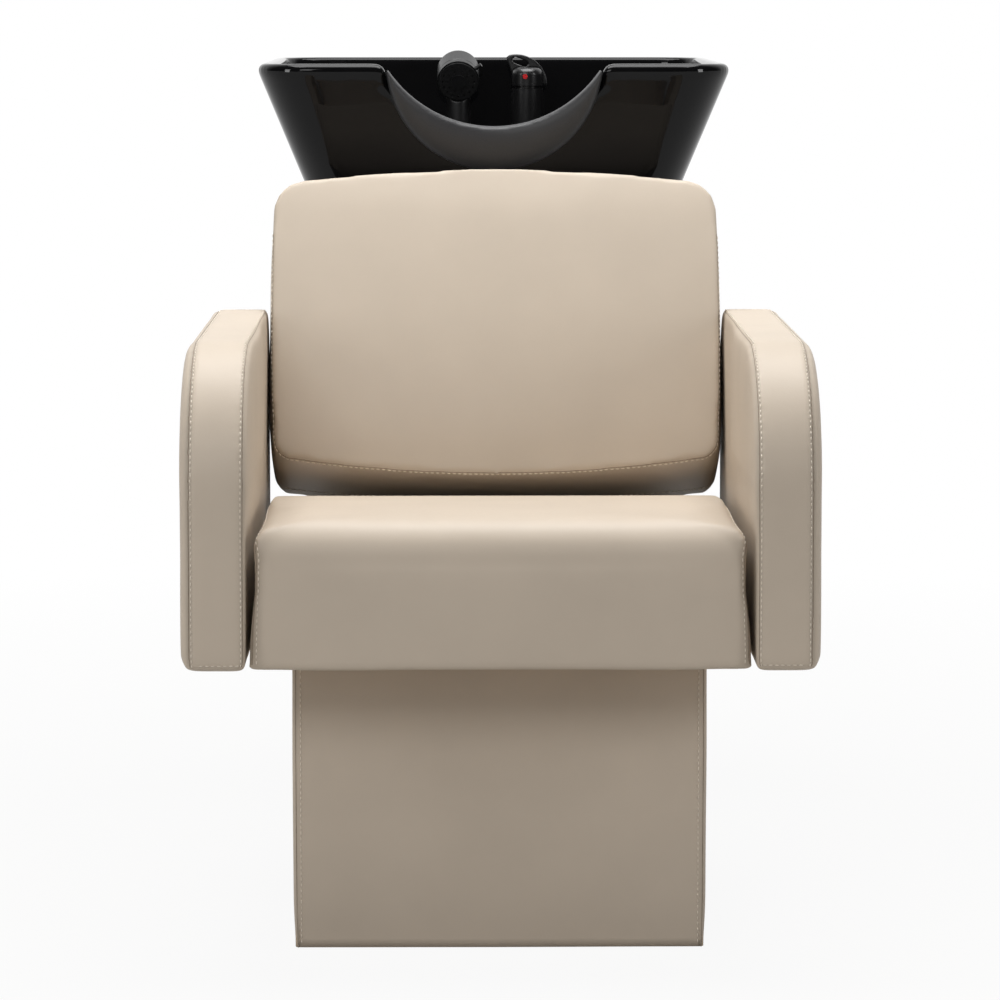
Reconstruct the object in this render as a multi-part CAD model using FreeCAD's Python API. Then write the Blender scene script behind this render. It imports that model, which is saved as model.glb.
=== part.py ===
"""Salon shampoo chair: an upholstered armchair on a box pedestal, with a tilting ceramic wash bowl behind it.

Millimetres. +X is to the right of someone facing the chair, +Y runs back to the bowl, +Z is up.
The origin is on the floor, under the middle of the chair's outline.
"""

import FreeCAD, Part
import math
import os

from FreeCAD import Rotation, Vector

# Fits and stock
POCKET_GAP = 0.3
RUNNING_GAP = 0.05
BOLT_GAP = 0.25
BOARD = 18.0
STEEL_PLATE = 6.0

# Seat
SEAT_BOTTOM = 320.0
SEAT_THICKNESS = 154.0
SEAT_DEPTH = 470.0
SEAT_INSET = 10.0
SEAT_FRONT_ROUND = 36.0
SEAT_REAR_DROP = 31.0
SEAT_TOP_CROWN = 6.0
SEAT_FRONT_CROWN = 1.5
SEAT_SIDE_GAP = 2.5
SEAT_SIDE_DRAW_IN = 7.0
SEAT_SIDE_ROUND = 24.0
SEAT_REAR_CORNER = 45.0
SEAT_BOARD_INSET = 14.0

# Arms
ARM_OVERHANG = 130.0
ARM_HEIGHT = 330.0
ARM_INNER = 261.0
ARM_STRIP = 59.0
ARM_BULGE = 10.0
ARM_FRONT_ROUND = 150.0
ARM_REAR_ROUND = 45.0
ARM_FOOT_ROUND = 14.0
ARM_PILLOW_INSETS = (0.0, 4.0, 12.0)
ARM_PILLOW_SHARES = (0.0, 0.6, 1.0)
ARM_BOARD_INSET = 24.0

# Crossbars under the seat and rails on the pedestal
CROSSBAR_THICKNESS = 6.0
CROSSBAR_WIDTH = 40.0
CROSSBAR_SPACING = 215.0
RAIL_HEIGHT = 20.0
RAIL_WIDTH = 40.0
RAIL_WALL = 2.0
RAIL_MARGIN = 20.0
RAIL_TAIL = 90.0
BOLT_RADIUS = 4.0
BOLT_HEAD_RADIUS = 7.0
BOLT_HEAD = 5.0
BOLT_GRIP = 26.0
SEAT_BOLT_GRIP = 12.0
SEAT_BOLT_SPREAD = 180.0

# Backrest
BACK_RECLINE = 22.0
BACK_OVERLAP = 48.0
BACK_FOOT_RISE = 0.0
BACK_HEIGHT = 373.0
BACK_HALF_WIDTH = 260.6
BACK_TOP_HALF_WIDTH = 259.0
BACK_FOOT_HALF_WIDTH = 256.0
BACK_THICKNESS = 134.0
BACK_TOP_ARCH = 12.0
BACK_FOOT_BOW = 20.0
BACK_TOP_CORNER = 40.0
BACK_FOOT_CORNER = 26.0
BACK_CROWN_ACROSS = 14.0
BACK_CROWN_UP = 12.0
BACK_TOP_ROLL = 22.0
BACK_BOARD = 12.0
BACK_BOARD_INSET = 40.0
BRACKET_WIDTH = 40.0
BRACKET_STEEL = 8.0
BRACKET_REACH = 190.0
BRACKET_FOOT = 70.0
BRACKET_BOLTS = (60.0, 150.0)
BACK_BOLT_GRIP = 14.0

# Pedestal
PEDESTAL_SETBACK = 130.0
PEDESTAL_MARGIN = 28.0
PEDESTAL_TAIL = 6.0
COVER = 4.0
COVER_CORNER = 9.0
GLIDE_HEIGHT = 3.0
GLIDE_RADIUS = 11.0
GLIDE_INSET = 60.0
FLOOR_BRACKET = 60.0
FLOOR_BRACKET_STEEL = 5.0
FLOOR_HOLE_RADIUS = 5.5
FLOOR_BRACKET_PLACES = (160.0, 640.0)

# Bowl column
COLUMN_WIDTH = 340.0
COLUMN_DEPTH = 270.0
COLUMN_EAR_RISE = 44.0
COLUMN_BOARD = 15.0
WINDOW_WIDTH = 130.0
WINDOW_BELOW = 58.0
WINDOW_ABOVE = 44.0
COVER_SCREW_RADIUS = 3.0
COVER_SCREW_HEAD_RADIUS = 6.0
COVER_SCREW_HEAD = 3.0
COVER_SCREW_LENGTH = 12.0
COVER_SCREW_FOOT_INSET = 46.0
COVER_SCREW_HEAD_INSET = 29.0
COLUMN_CORE_HOLE = 170.0

# Bowl
BOWL_CLEARANCE = 258.0
BOWL_WIDTH = 564.0
BOWL_DEPTH = 505.0
BOWL_RIM = 930.0
BOWL_HEIGHT = 215.0
BOWL_CORNER = 62.0
BOWL_SIDE_TAPER = 0.40
BOWL_FRONT_TAPER = 0.30
BOWL_REAR_TAPER = 0.10
BOWL_WALL = 20.0
BOWL_FLOOR = 22.0
BOWL_LIP = 8.0
BOWL_BAND = 10.0
BOWL_INNER_ROUND = 30.0
BOWL_OUTER_ROUND = 26.0
DECK_DROP = 100.0
DECK_DEPTH = 125.0
DECK_THICKNESS = 18.0
DECK_WALL_TAPER = 0.30

# Neck rest
NECK_RADIUS = 151.0
NECK_CENTRE_RISE = 76.0
NECK_APRON_RADIUS = 128.0
NECK_SADDLE = 10.0
NECK_APRON = 14.0
NECK_LIP = 9.0
NECK_LIP_DEPTH = 20.0
NECK_GAP = 0.3
NOTCH_FLARE = 12.0

# Tilt joint of the bowl
PIVOT_DROP = 45.0
EAR = 8.0
EAR_OUTER = 120.0
EAR_RADIUS = 22.0
EAR_WASHER = 2.0
WASHER_RADIUS = 16.0
PIN_RADIUS = 7.0
PIN_HEAD_RADIUS = 11.0
PIN_HEAD = 7.0
TILT_PLATE_HALF_DEPTH = 90.0
TILT_PLATE_SIDE = 26.0
CRADLE_HALF_DEPTH = 85.0
CRADLE_HOLE_RADIUS = 52.0
PAD_HEIGHT = 5.0
PAD_RADIUS = 15.0
PAD_SPREAD = 150.0
PAD_DEPTH_SPREAD = 130.0
CLAMP_HUB_RADIUS = 13.0
CLAMP_HUB_LENGTH = 18.0
CLAMP_STUD_RADIUS = 5.0
CLAMP_ARM = 74.0
CLAMP_ARM_RADIUS = 5.0
CLAMP_KNOB_RADIUS = 10.0
CLAMP_KNOB = 26.0

# Waste
DRAIN_OFFSET = 219.0
DRAIN_HOLE_RADIUS = 24.0
DRAIN_RECESS_RADIUS = 42.0
DRAIN_RECESS = 5.0
FLANGE_RADIUS = 40.0
FLANGE = 4.0
TAIL_RADIUS = 22.0
TAIL_BORE_RADIUS = 18.0
TAIL_REACH = 115.0
GASKET_RADIUS = 36.0
GASKET = 4.0
NUT_RADIUS = 33.0
NUT = 14.0
TRAP_RADIUS = 35.0
TRAP_WALL = 3.0
TRAP_DROP = 65.0
TRAP_HEIGHT = 150.0
TRAP_LID = 10.0
OUTLET_DROP = 92.0
OUTLET_RADIUS = 20.0
OUTLET_BORE_RADIUS = 17.0
OUTLET_REACH = 175.0
OUTLET_SPIGOT = 40.0
OUTLET_BEAD_RADIUS = 22.5
OUTLET_BEAD = 4.0
STRAINER_RADIUS = 34.0
STRAINER = 2.5
STRAINER_KNOB_RADIUS = 6.0
STRAINER_KNOB = 9.0
STRAINER_HOLE_RADIUS = 2.5
STRAINER_RINGS = ((13.0, 8), (20.0, 12), (27.0, 16))

# Mixer tap
FIXTURE_INSET = 72.0
MIXER_PLACE = 47.0
MIXER_RADIUS = 20.0
MIXER_RING_RADIUS = 26.0
MIXER_RING = 4.0
MIXER_BODY = 57.0
SHANK_RADIUS = 16.0
SHANK_REACH = 32.0
LOCKNUT_RADIUS = 26.0
LOCKNUT = 10.0
INLET_RADIUS = 5.0
INLET_LENGTH = 55.0
INLET_SOCKET = 8.0
INLET_UNION_RADIUS = 7.5
INLET_UNION = 10.0
INLET_SPREAD = 18.0
CARTRIDGE_RADIUS = 17.0
CARTRIDGE = 3.0
CARTRIDGE_STEM_RADIUS = 7.0
CARTRIDGE_STEM = 8.0
CAP_GAP = 0.4
CAP_WALL = 4.0
CAP_SKIRT = 10.0
CAP_DOME = 13.0
CAP_ROUND = 9.0
LEVER_THICKNESS = 9.0
LEVER_TIP_REACH = 27.0
LEVER_TIP_HEIGHT = 39.0
LEVER_ROOT_REACH = 26.0
LEVER_HOLE_LENGTH = 21.0
LEVER_HOLE_WIDTH = 8.0
LEVER_HOLE_TILT = -22.0
LEVER_HOLE_SETBACK = 9.0
LEVER_HOLE_DROP = 9.0
LEVER_TIP_BLUNT = 4.0
LEVER_TIP_FALL = 3.0
MARK_RADIUS = 3.2
MARK = 1.2
MARK_HEIGHT = 12.0

# Hand shower
SHOWER_PLACE = -42.0
HOLDER_RADIUS = 24.0
HOLDER_FLANGE = 6.0
HOLDER_TUBE_RADIUS = 17.0
HOLDER_BORE_RADIUS = 13.0
HOLDER_REACH = 24.0
HANDLE_RADIUS = 16.0
HANDLE_SPIGOT_GAP = 0.4
HEAD_RADIUS = 27.0
HEAD_LENGTH = 45.0
HEAD_TILT = 20.0
HEAD_HEIGHT = 79.0
HEAD_NECK_PLACE = 26.0
HEAD_SPIGOT_RADIUS = 21.0
HEAD_END_ROUND = 5.0
RING_START = 1.5
RING_END = 9.5
RING_GAP = 0.3
TAB_REACH = 9.0
TAB_WIDTH = 5.0
TAB_ANGLE = 35.0
SPRAY_RADIUS = 25.0
SPRAY_PLATE = 2.0
SPRAY_NOZZLE_RADIUS = 1.2
SPRAY_RINGS = ((14.0, 10), (20.0, 16))
CENTRE_CAP_RADIUS = 9.5
CENTRE_CAP = 2.0

# Places worked out from the sizes above
BACK_FRONT_PLACE = SEAT_INSET + SEAT_DEPTH - BACK_OVERLAP
CROSSBAR_PLACES = (BACK_FRONT_PLACE - CROSSBAR_SPACING, BACK_FRONT_PLACE)
BOWL_SETBACK = BACK_FRONT_PLACE + BOWL_CLEARANCE
OVERALL_DEPTH = BOWL_SETBACK + BOWL_DEPTH
FRONT = -OVERALL_DEPTH / 2
SEAT_FRONT = FRONT + SEAT_INSET
SEAT_REAR = SEAT_FRONT + SEAT_DEPTH
SEAT_TOP = SEAT_BOTTOM + SEAT_THICKNESS
SEAT_HALF_WIDTH = ARM_INNER - SEAT_SIDE_GAP
ARM_TOP = SEAT_BOTTOM + ARM_HEIGHT
ARM_LENGTH = SEAT_DEPTH + ARM_OVERHANG
BACK_FOOT_HEIGHT = SEAT_TOP + BACK_FOOT_RISE
ARM_SEAM = ARM_INNER + ARM_STRIP
ARM_BOARD_X = ARM_INNER + (ARM_STRIP - BOARD) / 2
PEDESTAL_FRONT = FRONT + PEDESTAL_SETBACK
PEDESTAL_TOP = SEAT_BOTTOM - CROSSBAR_THICKNESS
RAIL_FOOT = PEDESTAL_TOP - RAIL_HEIGHT
RAIL_SPREAD = COLUMN_WIDTH - 2 * RAIL_MARGIN
PEDESTAL_WIDTH = COLUMN_WIDTH + 2 * (PEDESTAL_MARGIN + BOARD + COVER)
BOARD_HALF_WIDTH = PEDESTAL_WIDTH / 2 - COVER
BOARD_FRONT = PEDESTAL_FRONT + COVER
BOWL_FRONT = FRONT + BOWL_SETBACK
BOWL_REAR = BOWL_FRONT + BOWL_DEPTH
BOWL_FOOT = BOWL_RIM - BOWL_HEIGHT
DECK_TOP = BOWL_RIM - DECK_DROP
DECK_UNDER = DECK_TOP - DECK_THICKNESS
BASIN_FLOOR = BOWL_FOOT + BOWL_FLOOR
DRAIN_Y = BOWL_FRONT + DRAIN_OFFSET
COLUMN_FRONT = DRAIN_Y - COLUMN_DEPTH / 2
COLUMN_REAR = DRAIN_Y + COLUMN_DEPTH / 2
PEDESTAL_REAR = COLUMN_REAR + PEDESTAL_TAIL
PIVOT_HEIGHT = BOWL_FOOT - PIVOT_DROP
COLUMN_TOP = PIVOT_HEIGHT - COLUMN_EAR_RISE
TILT_PLATE_TOP = COLUMN_TOP + STEEL_PLATE
TRAP_TOP = BOWL_FOOT - TRAP_DROP
TRAP_FOOT = TRAP_TOP - TRAP_HEIGHT
TAIL_END = TRAP_TOP - TAIL_REACH
OUTLET_HEIGHT = TRAP_TOP - OUTLET_DROP
CRADLE_TOP = BOWL_FOOT - PAD_HEIGHT
FIXTURE_Y = BOWL_REAR - FIXTURE_INSET
SHANK_END = DECK_UNDER - SHANK_REACH
HOLDER_END = DECK_UNDER - HOLDER_REACH
MIXER_TOP = DECK_TOP + MIXER_RING + MIXER_BODY
CAP_FOOT = MIXER_TOP + CARTRIDGE + CAP_GAP
X_AXIS, Y_AXIS, Z_AXIS = Vector(1, 0, 0), Vector(0, 1, 0), Vector(0, 0, 1)


def box(x0, x1, y0, y1, z0, z1):
    """A block between two corners."""
    return Part.makeBox(x1 - x0, y1 - y0, z1 - z0, Vector(x0, y0, z0))


def rod(radius, start, end):
    """A round bar between two points."""
    along = end - start
    return Part.makeCylinder(radius, along.Length, start, along)


def upright(radius, x, y, z0, z1):
    """A round bar standing on end."""
    return rod(radius, Vector(x, y, z0), Vector(x, y, z1))


def ring(outer, inner, x, y, z0, z1):
    """A washer or tube standing on end."""
    return upright(outer, x, y, z0, z1).cut(upright(inner, x, y, z0, z1))


def arc(start, middle, end):
    return Part.Arc(start, middle, end).toShape()


def rounded_outline(corners, radii):
    """A closed wire of straight runs with a tangent arc of the given radius at each corner."""
    edges = []
    joins = []
    count = len(corners)
    for i in range(count):
        corner = corners[i]
        back = (corners[i - 1] - corner).normalize()
        ahead = (corners[(i + 1) % count] - corner).normalize()
        half = back.getAngle(ahead) / 2
        reach = radii[i] / math.tan(half)
        bisector = (back + ahead).normalize()
        centre = corner + bisector * (radii[i] / math.sin(half))
        joins.append((corner + back * reach, centre - bisector * radii[i], corner + ahead * reach))
    for i in range(count):
        edges.append(arc(*joins[i]))
        edges.append(Part.LineSegment(joins[i][2], joins[(i + 1) % count][0]).toShape())
    return Part.Wire(edges)


def prism(wire, along):
    return Part.Face(wire).extrude(along)


def mirrored(shape):
    """The same piece on the other side of the chair."""
    return shape.mirror(Vector(0, 0, 0), X_AXIS)


def group(shapes):
    return Part.makeCompound(shapes)


# Pedestal: a box of boards in a sewn cover, on glides, screwed to the floor through steel brackets

def pedestal_cover():
    sleeve = box(-PEDESTAL_WIDTH / 2, PEDESTAL_WIDTH / 2, PEDESTAL_FRONT, PEDESTAL_REAR, GLIDE_HEIGHT, PEDESTAL_TOP)
    uprights = [e for e in sleeve.Edges if e.Length > 0 and abs(e.Vertexes[0].Y - PEDESTAL_FRONT) < 1e-6
                and abs(e.Vertexes[1].Y - PEDESTAL_FRONT) < 1e-6
                and abs(e.Vertexes[0].X - e.Vertexes[1].X) < 1e-6]
    sleeve = sleeve.makeFillet(COVER_CORNER, uprights)
    return sleeve.cut(box(-BOARD_HALF_WIDTH, BOARD_HALF_WIDTH, BOARD_FRONT, PEDESTAL_REAR, GLIDE_HEIGHT, PEDESTAL_TOP))


def pedestal_front_board():
    return box(-BOARD_HALF_WIDTH, BOARD_HALF_WIDTH, BOARD_FRONT, BOARD_FRONT + BOARD, GLIDE_HEIGHT, PEDESTAL_TOP)


def pedestal_side_board(side):
    x0, x1 = sorted((side * BOARD_HALF_WIDTH, side * (BOARD_HALF_WIDTH - BOARD)))
    return box(x0, x1, BOARD_FRONT + BOARD, PEDESTAL_REAR, GLIDE_HEIGHT, PEDESTAL_TOP)


def pedestal_rear_panel():
    inner = BOARD_HALF_WIDTH - BOARD
    return box(-inner, inner, PEDESTAL_REAR - BOARD, PEDESTAL_REAR, GLIDE_HEIGHT, RAIL_FOOT)


def pedestal_top_board():
    inner = BOARD_HALF_WIDTH - BOARD
    board = box(-inner, inner, BOARD_FRONT + BOARD, PEDESTAL_REAR - BOARD, RAIL_FOOT - BOARD, RAIL_FOOT)
    half = COLUMN_CORE_HOLE / 2
    return board.cut(box(-half, half, DRAIN_Y - half, DRAIN_Y + half, RAIL_FOOT - BOARD, RAIL_FOOT))


def floor_bracket_centres():
    x = BOARD_HALF_WIDTH - BOARD - FLOOR_BRACKET / 2
    return [Vector(side * x, BOARD_FRONT + place, 0) for place in FLOOR_BRACKET_PLACES for side in (-1, 1)]


def floor_brackets():
    """Steel angles inside the pedestal: one leg on the floor with a bolt hole, the other on the side board."""
    angles = []
    for centre in floor_bracket_centres():
        half = FLOOR_BRACKET / 2
        side = math.copysign(1, centre.x)
        foot = box(centre.x - half, centre.x + half, centre.y - half, centre.y + half, 0, FLOOR_BRACKET_STEEL)
        x0, x1 = sorted((centre.x + side * half, centre.x + side * (half - FLOOR_BRACKET_STEEL)))
        leg = box(x0, x1, centre.y - half, centre.y + half, 0, FLOOR_BRACKET)
        hole = upright(FLOOR_HOLE_RADIUS, centre.x, centre.y, 0, FLOOR_BRACKET_STEEL)
        angles.append(foot.fuse(leg).cut(hole).removeSplitter())
    return group(angles)


def glides():
    """Round plastic glides under the corners of the side boards."""
    x = BOARD_HALF_WIDTH - BOARD / 2
    places = (BOARD_FRONT + BOARD + GLIDE_INSET, PEDESTAL_REAR - GLIDE_INSET)
    return group([upright(GLIDE_RADIUS, side * x, y, 0, GLIDE_HEIGHT) for y in places for side in (-1, 1)])


# Seat frame: two rails on the pedestal and two crossbars that carry the seat board and the arms

def seat_rails():
    rails = []
    start = BOARD_FRONT + BOARD
    end = bracket_knee().y + BRACKET_FOOT + RAIL_TAIL
    for side in (-1, 1):
        x = side * RAIL_SPREAD / 2
        half = RAIL_WIDTH / 2
        outer = box(x - half, x + half, start, end, RAIL_FOOT, PEDESTAL_TOP)
        core = box(x - half + RAIL_WALL, x + half - RAIL_WALL, start, end,
                   RAIL_FOOT + RAIL_WALL, PEDESTAL_TOP - RAIL_WALL)
        rails.append(outer.cut(core))
    return group(rails)


def arm_bolt_points():
    x = ARM_INNER + ARM_STRIP / 2
    return [Vector(side * x, FRONT + place, PEDESTAL_TOP) for place in CROSSBAR_PLACES for side in (-1, 1)]


def seat_bolt_points():
    x = SEAT_BOLT_SPREAD / 2
    return [Vector(side * x, FRONT + place, PEDESTAL_TOP) for place in CROSSBAR_PLACES for side in (-1, 1)]


def bolt_holes(points, grip):
    """Clearance holes for a set of upright bolts."""
    holes = [upright(BOLT_RADIUS + BOLT_GAP, p.x, p.y, p.z, p.z + CROSSBAR_THICKNESS + grip + BOLT_GAP) for p in points]
    return group(holes)


def upright_bolts(points, grip):
    """Bolts put in from below, with their heads under the crossbars."""
    bolts = []
    for p in points:
        shank = upright(BOLT_RADIUS, p.x, p.y, p.z, p.z + CROSSBAR_THICKNESS + grip)
        head = upright(BOLT_HEAD_RADIUS, p.x, p.y, p.z - BOLT_HEAD, p.z)
        bolts.append(shank.fuse(head).removeSplitter())
    return group(bolts)


def arm_crossbars():
    reach = ARM_SEAM - BOLT_HEAD_RADIUS
    bars = []
    for place in CROSSBAR_PLACES:
        y = FRONT + place
        bar = box(-reach, reach, y - CROSSBAR_WIDTH / 2, y + CROSSBAR_WIDTH / 2, PEDESTAL_TOP, SEAT_BOTTOM)
        bar = bar.cut(bolt_holes(arm_bolt_points(), 0)).cut(bolt_holes(seat_bolt_points(), 0))
        bars.append(bar)
    return group(bars)


def seat_board_block(gap):
    """The seat board, or its pocket in the cushion when a gap is given."""
    inset = SEAT_BOARD_INSET - gap
    half = SEAT_HALF_WIDTH - inset
    return box(-half, half, SEAT_FRONT + inset, SEAT_REAR - inset, SEAT_BOTTOM, SEAT_BOTTOM + BOARD + gap)


def seat_board():
    corner = SEAT_REAR_CORNER - SEAT_BOARD_INSET
    board = round_rear_corners(seat_board_block(0), corner)
    return board.cut(bolt_holes(seat_bolt_points(), SEAT_BOLT_GRIP))


def round_rear_corners(block, radius):
    bounds = block.BoundBox
    rear = [e for e in block.Edges if abs(e.BoundBox.YMin - bounds.YMax) < 1e-6 and e.BoundBox.ZLength > 1
            and e.BoundBox.XLength < 1e-6]
    return block.makeFillet(radius, rear)


def seat_side_profile():
    """The seat seen from the side: a waterfall front, a crowned top that falls to the back."""
    front_top = Vector(0, SEAT_FRONT, SEAT_TOP - SEAT_FRONT_ROUND)
    top_front = Vector(0, SEAT_FRONT + SEAT_FRONT_ROUND, SEAT_TOP)
    corner = Vector(0, SEAT_FRONT + SEAT_FRONT_ROUND * (1 - math.sqrt(0.5)),
                    SEAT_TOP - SEAT_FRONT_ROUND * (1 - math.sqrt(0.5)))
    rear_top = Vector(0, SEAT_REAR, SEAT_TOP - SEAT_REAR_DROP)
    crown = (top_front + rear_top) * 0.5 + Vector(0, 0, SEAT_TOP_CROWN)
    front_foot = Vector(0, SEAT_FRONT, SEAT_BOTTOM)
    belly = (front_foot + front_top) * 0.5 - Vector(0, SEAT_FRONT_CROWN, 0)
    rear_foot = Vector(0, SEAT_REAR, SEAT_BOTTOM)
    return Part.Wire([
        arc(front_foot, belly, front_top),
        arc(front_top, corner, top_front),
        arc(top_front, crown, rear_top),
        Part.LineSegment(rear_top, rear_foot).toShape(),
        Part.LineSegment(rear_foot, front_foot).toShape(),
    ])


def seat_front_profile():
    """The seat seen from the front: sides drawn in above the foot, soft top edges, a slight crown."""
    top = SEAT_TOP + 2 * SEAT_TOP_CROWN
    shoulder = SEAT_HALF_WIDTH - SEAT_SIDE_DRAW_IN
    lift = SEAT_SIDE_ROUND * (1 - math.sqrt(0.5))

    def half(side):
        foot = Vector(side * SEAT_HALF_WIDTH, 0, SEAT_BOTTOM)
        upper = Vector(side * shoulder, 0, SEAT_TOP - SEAT_SIDE_ROUND - SEAT_TOP_CROWN)
        waist = (foot + upper) * 0.5 - Vector(side * SEAT_SIDE_DRAW_IN / 3, 0, 0)
        edge = Vector(side * (shoulder - lift), 0, SEAT_TOP - lift - SEAT_TOP_CROWN)
        inner = Vector(side * (shoulder - SEAT_SIDE_ROUND), 0, SEAT_TOP - SEAT_TOP_CROWN)
        return foot, waist, upper, edge, inner

    left, right = half(-1), half(1)
    return Part.Wire([
        Part.LineSegment(left[0], right[0]).toShape(),
        arc(right[0], right[1], right[2]),
        arc(right[2], right[3], right[4]),
        arc(right[4], Vector(0, 0, top), left[4]),
        arc(left[4], left[3], left[2]),
        arc(left[2], left[1], left[0]),
    ])


def seat_cushion():
    side = prism(seat_side_profile(), X_AXIS * (2 * ARM_INNER))
    side.translate(X_AXIS * -ARM_INNER)
    front = prism(seat_front_profile(), Y_AXIS * (SEAT_DEPTH + 2 * SEAT_INSET))
    front.translate(Y_AXIS * (SEAT_FRONT - SEAT_INSET))
    plan = box(-ARM_INNER, ARM_INNER, SEAT_FRONT - SEAT_INSET, SEAT_REAR, SEAT_BOTTOM, SEAT_TOP + 3 * SEAT_TOP_CROWN)
    plan = round_rear_corners(plan, SEAT_REAR_CORNER)
    pocket = round_rear_corners(seat_board_block(POCKET_GAP), SEAT_REAR_CORNER - SEAT_BOARD_INSET)
    return side.common(front).common(plan).cut(pocket)


# Arms: a board in a padded cover, with a strip over the front and top and a full outer panel

def arm_outline(x, inset):
    front, rear = FRONT + inset, FRONT + ARM_LENGTH - inset
    foot, top = SEAT_BOTTOM + inset, ARM_TOP - inset
    corners = [Vector(x, front, foot), Vector(x, rear, foot), Vector(x, rear, top), Vector(x, front, top)]
    least = ARM_FOOT_ROUND / 2
    radii = [max(r - inset, least) for r in (ARM_FOOT_ROUND, ARM_FOOT_ROUND, ARM_REAR_ROUND, ARM_FRONT_ROUND)]
    return rounded_outline(corners, radii)


def arm_board_block(gap):
    """The arm's board, or its pocket when a gap is given. It is flush with the arm's foot."""
    inset = ARM_BOARD_INSET - gap
    board = prism(arm_outline(ARM_BOARD_X - gap, inset), X_AXIS * (BOARD + 2 * gap))
    foot = box(ARM_BOARD_X - gap, ARM_BOARD_X + BOARD + gap, FRONT + inset, FRONT + ARM_LENGTH - inset,
               SEAT_BOTTOM, SEAT_BOTTOM + ARM_BOARD_INSET + ARM_FOOT_ROUND)
    return board.fuse(foot).removeSplitter()


def arm_board():
    right = [p for p in arm_bolt_points() if p.x > 0]
    return arm_board_block(0).cut(bolt_holes(right, BOLT_GRIP))


def arm_cushion():
    strip = prism(arm_outline(ARM_INNER, 0), X_AXIS * ARM_STRIP)
    sections = [arm_outline(ARM_SEAM + ARM_BULGE * share, inset)
                for inset, share in zip(ARM_PILLOW_INSETS, ARM_PILLOW_SHARES)]
    pillow = Part.makeLoft(sections, True, True)
    return strip.fuse(pillow).removeSplitter().cut(arm_board_block(POCKET_GAP))


# Backrest: a crowned cushion on a board, carried by two bent flat bars from the rails

def lean(shape):
    """Takes a backrest piece from its upright drawing position to its place on the chair."""
    placed = shape.copy()
    placed.rotate(Vector(0, 0, 0), X_AXIS, -BACK_RECLINE)
    placed.translate(Vector(0, FRONT + BACK_FRONT_PLACE, BACK_FOOT_HEIGHT))
    return placed


def back_outline(inset):
    """The backrest from the front, drawn upright: an arched top, sides that swell and a bowed foot."""
    shoulder = BACK_HEIGHT - BACK_TOP_ARCH - inset
    foot = BACK_FOOT_BOW + inset
    top_x, foot_x = BACK_TOP_HALF_WIDTH - inset, BACK_FOOT_HALF_WIDTH - inset
    waist_x = BACK_HALF_WIDTH - inset
    top_r, foot_r = BACK_TOP_CORNER - inset / 2, BACK_FOOT_CORNER - inset / 2
    half = math.sqrt(0.5)

    def side(sign):
        return {
            "foot_in": Vector(sign * (foot_x - foot_r), 0, foot),
            "foot_mid": Vector(sign * (foot_x - foot_r * (1 - half)), 0, foot + foot_r * (1 - half)),
            "foot_out": Vector(sign * foot_x, 0, foot + foot_r),
            "waist": Vector(sign * waist_x, 0, (foot + shoulder) / 2),
            "top_out": Vector(sign * top_x, 0, shoulder - top_r),
            "top_mid": Vector(sign * (top_x - top_r * (1 - half)), 0, shoulder - top_r * (1 - half)),
            "top_in": Vector(sign * (top_x - top_r), 0, shoulder),
        }

    left, right = side(-1), side(1)
    return Part.Wire([
        arc(left["foot_in"], Vector(0, 0, inset), right["foot_in"]),
        arc(right["foot_in"], right["foot_mid"], right["foot_out"]),
        arc(right["foot_out"], right["waist"], right["top_out"]),
        arc(right["top_out"], right["top_mid"], right["top_in"]),
        arc(right["top_in"], Vector(0, 0, BACK_HEIGHT - inset), left["top_in"]),
        arc(left["top_in"], left["top_mid"], left["top_out"]),
        arc(left["top_out"], left["waist"], left["foot_out"]),
        arc(left["foot_out"], left["foot_mid"], left["foot_in"]),
    ])


def crown_barrel():
    """A very large barrel whose skin gives the backrest's front its crown across and up."""
    across = (BACK_HALF_WIDTH ** 2 + BACK_CROWN_ACROSS ** 2) / (2 * BACK_CROWN_ACROSS)
    low, high = -BACK_HEIGHT / 2, 1.5 * BACK_HEIGHT
    middle = BACK_HEIGHT / 2
    sag = BACK_CROWN_UP * ((high - middle) / (BACK_HEIGHT / 2)) ** 2
    foot, head = Vector(0, sag, low), Vector(0, sag, high)
    axis_foot, axis_head = Vector(0, across, low), Vector(0, across, high)
    half = Part.Wire([
        arc(foot, Vector(0, 0, middle), head),
        Part.LineSegment(head, axis_head).toShape(),
        Part.LineSegment(axis_head, axis_foot).toShape(),
        Part.LineSegment(axis_foot, foot).toShape(),
    ])
    return Part.Face(half).revolve(axis_foot, Z_AXIS, 360)


def back_board_block(gap):
    board = prism(back_outline(BACK_BOARD_INSET - gap), Y_AXIS * (BACK_BOARD + gap))
    board.translate(Y_AXIS * (BACK_THICKNESS - BACK_BOARD - gap))
    return board


def backrest_cushion():
    block = prism(back_outline(0), Y_AXIS * BACK_THICKNESS).common(crown_barrel())
    rear_top = [e for e in block.Edges if e.BoundBox.ZMin > BACK_HEIGHT - BACK_TOP_ARCH - 1
                and e.BoundBox.YMin > BACK_THICKNESS - 1e-3]
    block = block.makeFillet(BACK_TOP_ROLL, rear_top)
    return lean(block.cut(back_board_block(POCKET_GAP)))


def back_bolt_points():
    """Bolt places on the backrest's rear face, in its upright drawing position."""
    x = RAIL_SPREAD / 2
    return [Vector(side * x, BACK_THICKNESS, z) for z in BRACKET_BOLTS for side in (-1, 1)]


def back_bolt_holes():
    radius = BOLT_RADIUS + BOLT_GAP
    depth = BACK_BOARD + BOLT_GAP
    return group([rod(radius, p + Y_AXIS * (BRACKET_STEEL + BOLT_GAP), p - Y_AXIS * depth) for p in back_bolt_points()])


def backrest_board():
    return lean(back_board_block(0).cut(back_bolt_holes()))


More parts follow.
